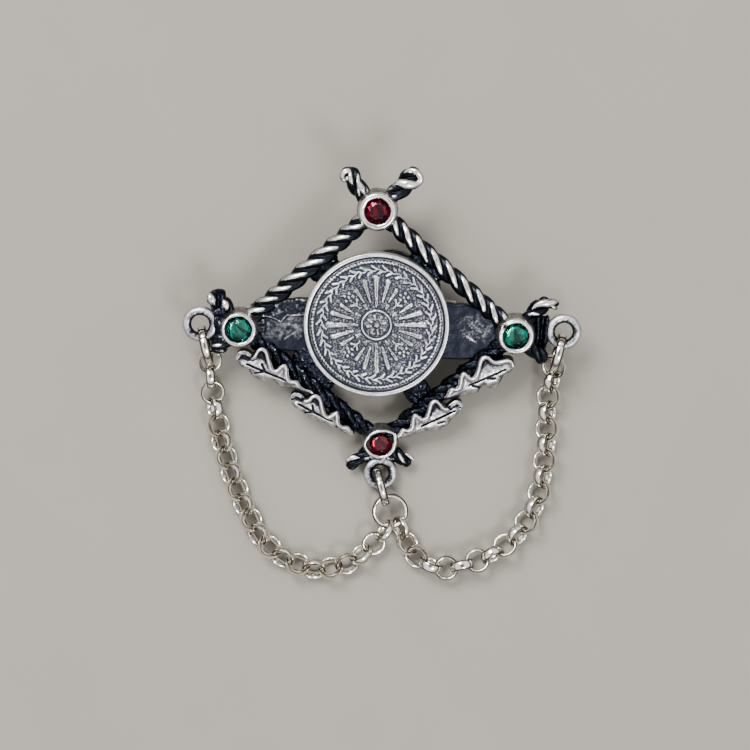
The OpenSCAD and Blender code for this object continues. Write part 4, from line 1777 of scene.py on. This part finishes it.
@dataclass
class Chain:
    """A chain laid link by link on the same tables as the part's source.

    headings, heights and turns list (link, value) rows: where the chain goes, how high its links
    lie and how far each is turned. pitch is the distance between two links' middles, and
    first_turn the turn to one side and the other of every second link. widths lists how wide the
    links' bands are.
    """

    name: str
    node: str
    start: Pair
    headings: tuple[Pair, ...]
    heights: tuple[Pair, ...]
    turns: tuple[Pair, ...]
    pitch: float
    first_turn: float
    links: int = 21
    widths: tuple[Pair, ...] = ((1.0, 1.1), (3.0, 1.3), (18.0, 1.3), (20.0, 1.05), (21.0, 0.95))
    lift: float = 0.08
    # The links' wire: painted shade on its inner face and along its outer edges.
    ring: WireRing = WireRing(3.56, 0.54, 1.3, steps=64, section=22, square=0.35, film_and_shade=0.25,
                              shaded_edge=(0.5, 0.85))

    def build(self, finish: bpy.types.Material) -> bpy.types.Object:
        """Builds all links in one mesh.

        Args:
            finish: the chain's material.

        Returns:
            The piece.
        """
        bm = bmesh.new()
        x, y = self.start
        for i in range(1, self.links + 1):
            fall = between(self.heights, i - 0.5) - between(self.heights, i + 0.5)
            side = self.first_turn if i % 2 else -self.first_turn
            place = (Matrix.Translation((x, y, between(self.heights, i) + self.lift))
                     @ Matrix.Rotation(math.radians(between(self.headings, i)), 4, "Z")
                     @ Matrix.Rotation(math.asin(fall / self.pitch), 4, "Y")
                     @ Matrix.Rotation(math.radians(side + between(self.turns, i)), 4, "X"))
            link = replace(self.ring, seam=1.9 * i + 0.4, width=between(self.widths, i)).mesh()
            link.transform(place)
            draft = bpy.data.meshes.new("link_draft")
            link.to_mesh(draft)
            link.free()
            bm.from_mesh(draft)
            bpy.data.meshes.remove(draft)
            drop = between(self.heights, i + 1) - between(self.heights, i)
            step = math.sqrt(self.pitch ** 2 - drop ** 2)
            ahead = math.radians(between(self.headings, i + 0.5))
            x, y = x + step * math.cos(ahead), y + step * math.sin(ahead)
        return publish(bm, self.name, finish, self.node, seat=Matrix.Identity(4))


# The object's own tables


def round_rim(outer: float, inner: float) -> tuple[Triple, ...]:
    """Gives a rim table of one outer and one inner radius."""
    return tuple((float(a), outer, inner) for a in range(0, 360, 90))


def shape_web(name: str, turn: float, near_r: float, far_r: float, wide: float) -> CastLump:
    """Shapes a rough web between the coin's seat and the rods.

    Args:
        name: the web's name.
        turn: the angle at which it stands, in degrees.
        near_r: the radius where it starts.
        far_r: the radius where it ends.
        wide: its width.

    Returns:
        The web.
    """
    middle = Coin.around((near_r + far_r) / 2, math.radians(turn))
    return CastLump(name, (((*middle, 0.75), ((far_r - near_r) * 0.62, wide * 0.56, 0.85), turn),),
                    grain=0.14, noise_mm=0.2, noise_size=0.6, base=-0.08, flat=0.0, curve=0.38)


RODS = (
    TwistedRod("rod_upper_left", Corner.LEFT, Corner.TOP, 4.0, 6.7,
               (-4.0, -1.4, 1.2, 3.76, 6.11, 8.31, 11.11, 13.95, 16.81, 19.26, 21.32, 24.4, 27.4, 30.43,
                32.6),
               ((-5.2, 1.2), (-3.5, 1.35), (-1, 1.3), (1, 1.36), (25, 1.34), (28, 1.25), (30.8, 1.5),
                (33, 1.4)),
               ((-6, 0.5), (2, 0.35), (3, 1), (27.8, 1), (28.6, 0.3), (33, 0.45)), brush=(-0.33, 0.38, 0.8),
               bend=((27, 0.0), (29.5, 0.1), (32, 0.4))),
    TwistedRod("rod_upper_right", Corner.RIGHT, Corner.TOP, 4.8, 6.1,
               (-4.0, -1.2, 1.4, 4.06, 6.18, 8.95, 11.83, 14.58, 17.45, 20.19, 22.5, 24.9, 27.25, 29.6,
                31.7),
               ((-6, 1.1), (-1, 1.3), (1, 1.36), (25.7, 1.34), (28, 1.25), (31.0, 1.4), (32.3, 1.3)),
               ((-6, 0.2), (2, 0.3), (3, 1), (26.8, 1), (27.6, 0.3), (33, 0.6)), brush=(0.17, 0.2, 0.93),
               bend=((27.4, 0.0), (29.5, -0.35), (31.5, -0.95))),
    TwistedRod("rod_lower_left", Corner.LEFT, Corner.BOTTOM, 5.1, 4.3,
               (-5.5, -3.5, -0.9, 1.7, 4.3, 6.9, 9.5, 12.1, 14.7, 17.3, 19.9, 22.5, 25.1, 27.7, 29.7),
               ((-6, 1.6), (-4.6, 1.7), (-3, 1.5), (-1, 1.3), (1, 1.36), (25, 1.3), (27, 1.05), (30, 0.95)),
               ((-6, 0.1), (0, 0.05), (8, 0.1), (12, 0.15), (30, 0.1)),
               lit_slopes=(0.7, 0.97), gnarl=0.14, bend=((-4.6, 1.0), (-2.5, 0.4), (-1.4, 0.0))),
    TwistedRod("rod_lower_right", Corner.RIGHT, Corner.BOTTOM, 5.5, 4.9,
               (-6.0, -3.9, -1.2, 1.4, 4.0, 6.6, 9.2, 11.8, 14.4, 17.0, 19.6, 22.2, 24.8, 27.1, 28.9),
               ((-7, 0.95), (-4.5, 1.25), (-1, 1.3), (1, 1.36), (24, 1.3), (26, 1.0), (29.5, 0.95)),
               ((-7, 0.1), (0, 0.05), (8, 0.1), (14, 0.12), (30, 0.1)),
               lit_slopes=(0.7, 0.97), gnarl=0.14, bend=((-6.5, -0.75), (-3.0, -0.5), (-1.4, 0.0))),
)

CUPS = (
    StoneCup("cup_top", Corner.TOP, 3.8, 3.4, 3.3, round_rim(2.55, 1.74)),
    StoneCup("cup_left", Corner.LEFT, 3.8, 3.4, 3.3,
             ((0, 2.4, 1.78), (90, 2.36, 1.8), (150, 2.36, 1.95), (210, 2.36, 1.85), (300, 2.4, 1.74))),
    StoneCup("cup_right", Corner.RIGHT, 3.8, 3.4, 3.3,
             ((0, 2.45, 1.76), (90, 2.45, 1.78), (180, 2.45, 1.78), (225, 2.4, 1.9), (270, 2.45, 1.8)),
             pit=(-1.57, 1.35)),
    StoneCup("cup_bottom", Corner.BOTTOM, 3.4, 2.9, 2.9,
             ((0, 2.2, 1.68), (20, 2.4, 1.95), (38, 2.62, 2.25), (55, 2.4, 1.95), (80, 2.1, 1.65),
              (120, 2.1, 1.62), (160, 2.2, 1.8), (180, 2.28, 2.02), (200, 2.22, 1.8), (240, 2.1, 1.62),
              (270, 2.05, 1.62), (320, 2.1, 1.62)), shift=-0.15),
)

STONES = (
    CutStone("ruby_top", "stone_top", CUPS[0], Slot.RED, 7.0),
    CutStone("emerald_left", "stone_left", CUPS[1], Slot.GREEN, 34.0),
    CutStone("emerald_right", "stone_right", CUPS[2], Slot.GREEN, 2.0),
    CutStone("ruby_bottom", "stone_bottom", CUPS[3], Slot.RED, 33.0),
)

LEAVES = (
    OakLeaf("leaf_left_upper", (-19.1, -5.2), (-8.7, -10.1),
            ((-0.42, 0.11), (-0.55, 0.8), (-0.1, 1.55), (0.8, 1.75), (1.5, 1.45), (1.5, 2.0),
             (1.65, 2.8), (2.2, 3.3), (3.0, 3.2), (3.6, 2.6), (4.3, 1.75), (5.0, 1.0), (5.35, 1.6),
             (5.6, 2.2), (6.1, 2.5), (6.7, 2.15), (7.1, 1.2), (7.7, 0.6), (8.15, 0.95), (8.7, 0.95),
             (9.5, 0.35), (10.9, 0.5)),
            ((-0.2, -0.1), (0.9, -0.8), (1.8, -0.75), (2.76, -1.25), (3.9, -1.45), (4.8, -1.1),
             (5.63, -0.63), (6.68, -0.95), (7.6, -0.7), (8.57, -0.6), (10.58, -0.49), (11.3, -0.3)),
            (((1.3, 0.05), (4.0, 0.13)), ((4.0, 0.13), (7.0, 0.25)), ((4.0, 0.15), (3.2, 0.95)),
             ((4.0, 0.1), (2.8, -0.7)))),
    OakLeaf("leaf_left_lower", (-11.9, -10.8), (-3.1, -15.85),
            ((-0.23, 0.13), (-0.3, 0.8), (0.2, 1.4), (1.1, 1.45), (1.8, 1.2), (1.9, 1.7), (2.2, 2.4),
             (2.8, 2.7), (3.5, 2.55), (4.1, 2.0), (4.7, 1.3), (5.45, 0.7), (5.8, 1.1), (6.05, 1.75),
             (6.5, 2.05), (6.9, 1.55), (7.3, 0.85), (7.8, 0.4), (8.3, 0.7), (8.8, 0.85), (9.41, 0.48),
             (10.0, 0.23)),
            ((-0.1, -0.1), (1.0, -0.75), (2.0, -0.7), (3.28, -1.0), (4.83, -0.95), (5.9, -0.65),
             (7.10, -0.85), (8.01, -0.6), (9.84, -0.47), (10.1, -0.3)),
            (((1.2, 0.05), (3.6, 0.1)), ((3.6, 0.1), (6.4, 0.2)), ((3.6, 0.12), (3.0, 0.85)),
             ((3.6, 0.1), (2.6, -0.6)))),
    OakLeaf("leaf_right_upper", (18.9, -6.0), (9.4, -10.6),
            ((-0.33, 0.07), (-0.4, 0.9), (0.2, 1.45), (1.2, 1.65), (1.9, 1.95), (2.1, 2.55),
             (2.65, 3.15), (3.4, 3.25), (4.0, 2.85), (4.5, 2.2), (5.1, 1.5), (5.65, 1.05), (5.95, 1.5),
             (6.15, 2.15), (6.6, 2.45), (7.2, 2.1), (7.75, 1.3), (8.3, 0.65), (8.65, 1.0), (9.1, 1.1),
             (9.6, 0.75), (10.07, 0.37)),
            ((-0.2, -0.1), (0.63, -0.68), (1.71, -0.79), (2.5, -1.35), (3.20, -1.77), (4.20, -1.71),
             (4.75, -0.80), (5.4, -1.0), (6.11, -1.41), (7.24, -1.18), (9.88, -0.65), (10.3, -0.4)),
            (((1.2, 0.0), (3.9, 0.05)), ((3.9, 0.05), (6.6, 0.15)), ((3.0, -0.5), (3.9, -0.1)),
             ((5.4, -0.8), (6.2, -0.1))), dark_tip=0.0, hollows=0.5),
    OakLeaf("leaf_right_lower", (11.8, -12.0), (3.1, -16.3),
            ((-0.25, 0.24), (-0.45, 0.8), (0.1, 1.4), (1.0, 1.35), (1.8, 1.15), (2.0, 1.7), (2.2, 2.55),
             (2.75, 3.0), (3.5, 2.9), (4.1, 2.3), (4.7, 1.6), (5.2, 1.15), (5.5, 1.5), (5.75, 2.15),
             (6.2, 2.4), (6.8, 2.0), (7.2, 1.3), (7.7, 0.65), (8.1, 0.95), (8.6, 1.25), (9.2, 0.85),
             (9.7, 0.63)),
            ((-0.1, -0.1), (1.19, -0.73), (2.0, -0.95), (2.78, -1.44), (4.12, -1.64), (5.4, -1.1),
             (6.59, -0.74), (7.98, -0.65), (9.6, -0.2)),
            (((1.0, 0.1), (3.7, 0.1)), ((3.7, 0.1), (6.0, 0.15)), ((3.0, -0.7), (3.8, -0.5)))),
)

EYES = (
    Eye("eye_left", (-24.3, -0.2)),
    Eye("eye_right", (25.9, -1.3)),
    Eye("eye_bottom", (0.55, -21.45), outer=4.7, bare=0.34),
)

LUMPS = (
    CastLump("mass_left",
             (((-21.6, -0.2, 1.3), (1.3, 2.1, 1.2), 0), ((-21.5, 1.6, 1.5), (1.1, 0.9, 1.2), 0),
              ((-21.6, -2.3, 1.2), (1.5, 1.2, 1.2), 0), ((-22.5, 0.3, 1.4), (0.6, 1.5, 0.8), 0)),
             base=0.1, curve=0.5),
    CastLump("mass_right",
             (((22.3, -1.2, 1.2), (0.5, 2.7, 1.2), -4), ((23.4, -1.5, 1.3), (0.5, 2.6, 1.2), -6),
              ((21.4, -1.2, 1.1), (0.5, 2.2, 1.1), 0), ((22.8, -1.4, 0.9), (1.5, 2.3, 0.8), 0)),
             base=-0.08, curve=0.35),
    CastLump("knob_right",
             (((22.6, 2.35, 1.3), (1.5, 0.75, 0.95), 0), ((23.9, 2.55, 1.2), (1.35, 0.7, 0.85), 5)),
             base=-0.05, curve=0.3),
    CastLump("mass_bottom",
             (((0.5, -19.3, 1.2), (1.9, 0.9, 1.0), 0), ((-1.4, -19.4, 1.2), (0.8, 0.7, 0.8), 20),
              ((2.3, -19.3, 1.2), (0.8, 0.7, 0.8), -20))),
)

CRESTS = (
    Crest("crest_top_right",
          ((2.1, 18.94, 1.9, 0.2), (3.0, 19.37, 2.2, 0.48), (4.13, 19.22, 2.45, 0.66),
           (5.12, 19.16, 2.25, 0.7), (5.85, 19.5, 2.0, 0.58), (6.0, 20.13, 2.1, 0.48),
           (5.6, 20.75, 2.3, 0.42), (4.94, 21.08, 2.2, 0.42), (4.22, 21.04, 2.05, 0.32),
           (3.73, 20.72, 2.0, 0.12))),
    Crest("crest_top_left_curl",
          ((-3.4, 20.95, 2.37, 0.2), (-3.85, 21.1, 2.34, 0.36), (-4.35, 20.88, 2.35, 0.4),
           (-4.6, 20.38, 2.2, 0.4), (-4.5, 19.9, 2.05, 0.36), (-4.15, 19.75, 2.1, 0.3),
           (-3.98, 20.0, 2.4, 0.3), (-4.08, 20.3, 2.5, 0.26))),
    Crest("crest_top_left_bar",
          ((-3.5, 20.98, 2.37, 0.16), (-3.55, 20.33, 2.47, 0.34), (-3.45, 19.68, 2.48, 0.32),
           (-3.24, 19.14, 2.45, 0.14)), bare=0.7),
    Crest("crest_top_left_low",
          ((-2.68, 19.84, 2.4, 0.15), (-2.29, 19.17, 2.36, 0.42), (-1.87, 18.43, 2.34, 0.45),
           (-1.61, 17.79, 2.38, 0.18))),
    Crest("crest_left_dome",
          ((-22.85, 4.3, 2.45, 0.28), (-22.8, 3.76, 2.6, 0.58), (-22.5, 3.13, 2.66, 0.52),
           (-22.2, 2.56, 2.65, 0.18))),
    Crest("crest_left_dome_low",
          ((-21.04, 3.33, 2.55, 0.2), (-20.79, 2.76, 2.55, 0.5), (-20.63, 2.23, 2.55, 0.48),
           (-20.69, 1.78, 2.55, 0.18))),
    Crest("crest_left_foot",
          ((-22.74, -3.83, 1.95, 0.12), (-21.88, -4.0, 1.95, 0.28), (-20.99, -3.97, 1.8, 0.28),
           (-20.56, -3.67, 1.8, 0.12)), bare=0.32),
    Crest("crest_right_curl",
          ((21.38, 1.89, 2.1, 0.14), (21.96, 2.42, 2.1, 0.36), (22.82, 2.72, 2.12, 0.54),
           (23.77, 2.75, 2.02, 0.58), (24.62, 2.86, 1.8, 0.42), (25.21, 3.03, 1.6, 0.14))),
    Crest("crest_right_curl_low",
          ((23.99, 2.4, 1.98, 0.2), (24.57, 2.06, 1.7, 0.3), (25.02, 1.82, 1.56, 0.12)), bare=0.55),
    Crest("crest_right_bar",
          ((20.89, 1.14, 2.32, 0.12), (21.58, 1.32, 2.36, 0.27), (22.46, 1.22, 2.32, 0.14))),
    Crest("crest_bottom_left",
          ((-2.31, -19.14, 2.1, 0.14), (-3.1, -19.12, 2.1, 0.32), (-3.75, -19.34, 1.95, 0.4),
           (-4.05, -19.7, 1.85, 0.34), (-4.0, -20.1, 1.8, 0.16)), bare=0.7),
    Crest("crest_bottom_right",
          ((3.03, -18.44, 2.05, 0.12), (3.33, -19.01, 2.08, 0.26), (3.67, -19.56, 2.08, 0.26),
           (3.98, -19.95, 2.05, 0.1))),
    Crest("crest_bottom_right_end",
          ((4.03, -18.66, 1.7, 0.1), (4.57, -18.99, 1.68, 0.24), (5.08, -19.46, 1.62, 0.28),
           (5.15, -19.78, 1.65, 0.14)), bare=0.6),
)

WEBS = tuple(shape_web(f"web_{i}", *row) for i, row in enumerate((
    (134, 9, 12.2, 4.4), (48, 9, 12.2, 5.2), (210, 9, 12.9, 4.0), (226, 9, 12.6, 3.8),
    (300, 9, 13.2, 3.4))))

RINGS = (
    JumpRing("ring_left_wire", "ring_left", (-24.40, 4.68, 5.52), -77),
    JumpRing("ring_right_wire", "ring_right", (24.30, 3.63, 5.29), -105),
    JumpRing("ring_bottom_wire", "ring_bottom", (-0.1, -15.04, 2.75), -75, outer=5.5, width=1.15),
    JumpRing("ring_centre_wire", "ring_centre", (1.11, -18.45, 1.78), -73, outer=5.2, wire=0.66, width=0.8,
             slope=12.0, seam=-2.3),
)

CHAINS = (
    Chain("chain_left_links", "chain_left", (-24.01, 2.59),
          ((1.5, -88), (3.5, -82), (7.5, -72), (11.5, -62), (13.5, -37), (15.5, -15), (17.5, 18),
           (19.5, 43), (20.5, 46), (21, 57)),
          ((0, 4.8), (1, 3.54), (2, 2.6), (3, 2), (4, 1.75), (7, 1.64), (18, 1.69), (20, 1.72), (21, 1.83)),
          ((1, 20), (2, 43), (6, 0), (17, 0), (20, -28), (21, -28)), 2.34, -45),
    Chain("chain_right_links", "chain_right", (23.94, 1.79),
          ((1.5, -95), (2.5, -101), (4.5, -90), (8.5, -101), (11.5, -126), (14.5, -157), (16.5, -171),
           (17.5, -191), (18.5, -213), (19.5, -234), (20.5, -247), (21, -251)),
          ((0, 4.8), (1, 3.32), (2, 2.45), (3, 1.95), (4, 1.85), (20, 1.85), (21, 1.7)),
          ((1, -20), (5, -12), (12, -12), (17, -45), (18, -56), (21, -108)), 2.25, 45),
)

ROPE = AntiqueFinish("rope_antique", metal_rough=0.26, skin=(0.012, 0.014, 0.019), skin_rough=0.36,
                     edge=(0.34, 0.66), specks=0.35)
DARK_ROPE = AntiqueFinish("rope_dark", metal_rough=0.28, skin=(0.01, 0.012, 0.018), skin_rough=0.26,
                          edge=(0.34, 0.66), patch_scale=1500.0, patchiness=0.5, specks=0.5,
                          speck_scale=3000.0, sand=0.8, pits=0.6, bump=0.8, bump_mm=0.05)
BEZEL = AntiqueFinish("bezel_polished", metal=(0.82, 0.81, 0.79), skin=(0.03, 0.027, 0.024),
                      metal_rough=0.22, patchiness=0.4, specks=0.35, edge=(0.2, 0.95), sand=0.4,
                      pits=0.4, bump=0.4)
LEAF = AntiqueFinish("leaf_antique", metal=(0.8, 0.78, 0.8), metal_rough=0.3, edge=(0.2, 0.8),
                     patchiness=0.4, specks=0.55, speck_scale=3500.0, pits=0.5, bump=0.5)
ROUGH = AntiqueFinish("casting_rough", metal=(0.5, 0.51, 0.54), skin=(0.01, 0.012, 0.018),
                      metal_rough=0.36, skin_rough=0.28, edge=(0.3, 0.85), patchiness=0.5, specks=0.5,
                      patch_scale=1500.0, sand=0.8, pits=0.6, bump=0.8, bump_mm=0.05)
PLATE = AntiqueFinish("casting_plate", metal=(0.62, 0.63, 0.66), skin=(0.014, 0.016, 0.023),
                      metal_rough=0.36, edge=(0.1, 0.95), patchiness=0.2, specks=0.3, speck_scale=6000.0,
                      sand=0.5, pits=0.2, bump=0.35)
EYE_METAL = AntiqueFinish("eye_matte", metal=(0.62, 0.61, 0.65), metal_rough=0.4, edge=(0.15, 0.75),
                          specks=0.6, speck_scale=3500.0, sand=0.9, pits=0.6, bump=0.7, bump_mm=0.04)
COIN_METAL = AntiqueFinish("coin_struck", metal=(0.65, 0.65, 0.67), skin=(0.024, 0.027, 0.038),
                           metal_rough=0.36, skin_rough=0.5, edge=(0.12, 0.85), patchiness=0.25,
                           specks=0.45, speck_scale=6000.0, sand=0.7, pits=0.25, bump=0.4)
CHAIN_METAL = PlatedFinish("chain_nickel")
FITTING_METAL = PlatedFinish("fitting_nickel", (0.62, 0.61, 0.6), (0.42, 0.41, 0.4), (0.5, 0.49, 0.48),
                             rough=(0.25, 0.4), scale=400.0, bump=0.3)
RED_GEM = GemFinish("ruby", (0.66, 0.03, 0.2), (0.4, 0.002, 0.1), (0.03, 0.0, 0.006))
GREEN_GEM = GemFinish("emerald", (0.03, 0.58, 0.5), (0.0, 0.6, 0.5), (0.0, 0.015, 0.02))


# Room


@dataclass(frozen=True)
class Studio:
    """The plain pale floor, the soft light and the camera.

    low and high say between which heights of a look the horizon gives way to the sky, and the sky
    to the zenith, from 0 for level to 1 for straight up.
    """

    floor: Triple = (0.235, 0.22, 0.19)
    floor_half: float = 0.6
    camera: Triple = (-0.00099, 0.00059, 0.310)
    lens: float = 105.6
    sensor: float = 36.0
    horizon: Triple = (0.15, 0.145, 0.135)
    sky: Triple = (2.7, 2.7, 2.76)
    zenith: Triple = (0.38, 0.38, 0.39)
    low: Pair = (0.12, 0.64)
    high: Pair = (0.88, 0.99)
    strength: float = 0.6

    def lay_floor(self) -> None:
        """Lays a wide pale floor under the part."""
        bm = bmesh.new()
        bmesh.ops.create_grid(bm, x_segments=2, y_segments=2, size=self.floor_half)
        mesh = bpy.data.meshes.new("floor")
        bm.to_mesh(mesh)
        bm.free()
        material, sheet, shader = new_material("floor_paper")
        tone = sheet.blend(sheet.span(sheet.noise(60.0, 2.0), 0.3, 0.7), (*self.floor, 1.0),
                           (*(0.98 * c for c in self.floor), 1.0))
        sheet.feed(shader, {"Base Color": tone, "Roughness": 0.9, "Specular IOR Level": 0.2})
        mesh.materials.append(material)
        floor = bpy.data.objects.new("floor", mesh)
        bpy.context.scene.collection.objects.link(floor)

    def hang_light(self, name: str, place: Triple, size: float, power: float,
                   colour: Triple = (1.0, 1.0, 1.0)) -> None:
        """Hangs a square soft light that faces the part.

        Args:
            name: the light's name.
            place: where it hangs, in metres.
            size: the length of its side in metres.
            power: its power in watts.
            colour: its colour.
        """
        lamp = bpy.data.lights.new(name, "AREA")
        lamp.shape = "SQUARE"
        lamp.size = size
        lamp.energy = power
        lamp.color = colour
        holder = bpy.data.objects.new(name, lamp)
        holder.location = place
        holder.rotation_euler = (-Vector(place)).to_track_quat("-Z", "Y").to_euler()
        bpy.context.scene.collection.objects.link(holder)

    def light_room(self) -> None:
        """Gives the room a pale sky that darkens to its horizon and overhead, and two lights."""
        world = bpy.data.worlds.new("room")
        world.use_nodes = True
        bpy.context.scene.world = world
        sheet = Sheet(world.node_tree)
        upward = sheet.add("SeparateXYZ", {0: sheet.add("TexCoord").outputs["Generated"]}).outputs["Z"]
        sky = sheet.blend(sheet.span(upward, *self.low), (*self.horizon, 1.0), (*self.sky, 1.0))
        sky = sheet.blend(sheet.span(upward, *self.high), sky, (*self.zenith, 1.0))
        sheet.feed(world.node_tree.nodes["Background"], {"Color": sky, "Strength": self.strength})
        self.hang_light("window", (-0.24, 0.36, 0.6), 0.3, 8.6, (1.0, 0.99, 0.97))
        self.hang_light("second_window", (0.24, -0.4, 0.62), 0.2, 4.4)

    def set_camera(self) -> None:
        """Puts the camera over the part, looking straight down."""
        camera = bpy.data.cameras.new("camera")
        camera.lens = self.lens
        camera.sensor_width = self.sensor
        camera.clip_start = 0.01
        camera.clip_end = 10.0
        holder = bpy.data.objects.new("camera", camera)
        holder.location = self.camera
        bpy.context.scene.collection.objects.link(holder)
        bpy.context.scene.camera = holder


def main() -> None:
    """Builds every piece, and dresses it."""
    logging.basicConfig(level=logging.INFO, format="%(relativeCreated)d %(message)s")
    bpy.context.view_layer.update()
    room = Studio()
    room.set_camera()
    room.lay_floor()
    room.light_room()
    groups = {"antique_skin": build_tarnish_group(), "cast_grain": build_grain_group()}
    metal = {finish: finish.make(groups) for finish in (
        ROPE, DARK_ROPE, BEZEL, LEAF, ROUGH, PLATE, EYE_METAL, COIN_METAL, CHAIN_METAL, FITTING_METAL)}
    gems = {Slot.RED: (RED_GEM.make_glass(), RED_GEM.make_foil()),
            Slot.GREEN: (GREEN_GEM.make_glass(), GREEN_GEM.make_foil())}
    Coin().build(metal[COIN_METAL])
    CoinSeat().build(metal[ROUGH])
    Band().build(metal[PLATE])
    for web in WEBS:
        web.build(metal[ROUGH])
    for rod in RODS:
        rod.build(metal[DARK_ROPE if rod.gnarl else ROPE])
    for cup in CUPS:
        cup.build(metal[BEZEL])
    for stone in STONES:
        stone.build(*gems[stone.slot])
    for pieces, finish in ((LEAVES, LEAF), (EYES, EYE_METAL), (LUMPS, ROUGH), (CRESTS, ROPE),
                           (RINGS, CHAIN_METAL), (CHAINS, CHAIN_METAL)):
        for piece in pieces:
            piece.build(metal[finish])
    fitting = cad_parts["pin_back"].data.materials
    fitting.clear()
    fitting.append(metal[FITTING_METAL])


if __name__ == "__main__":
    main()
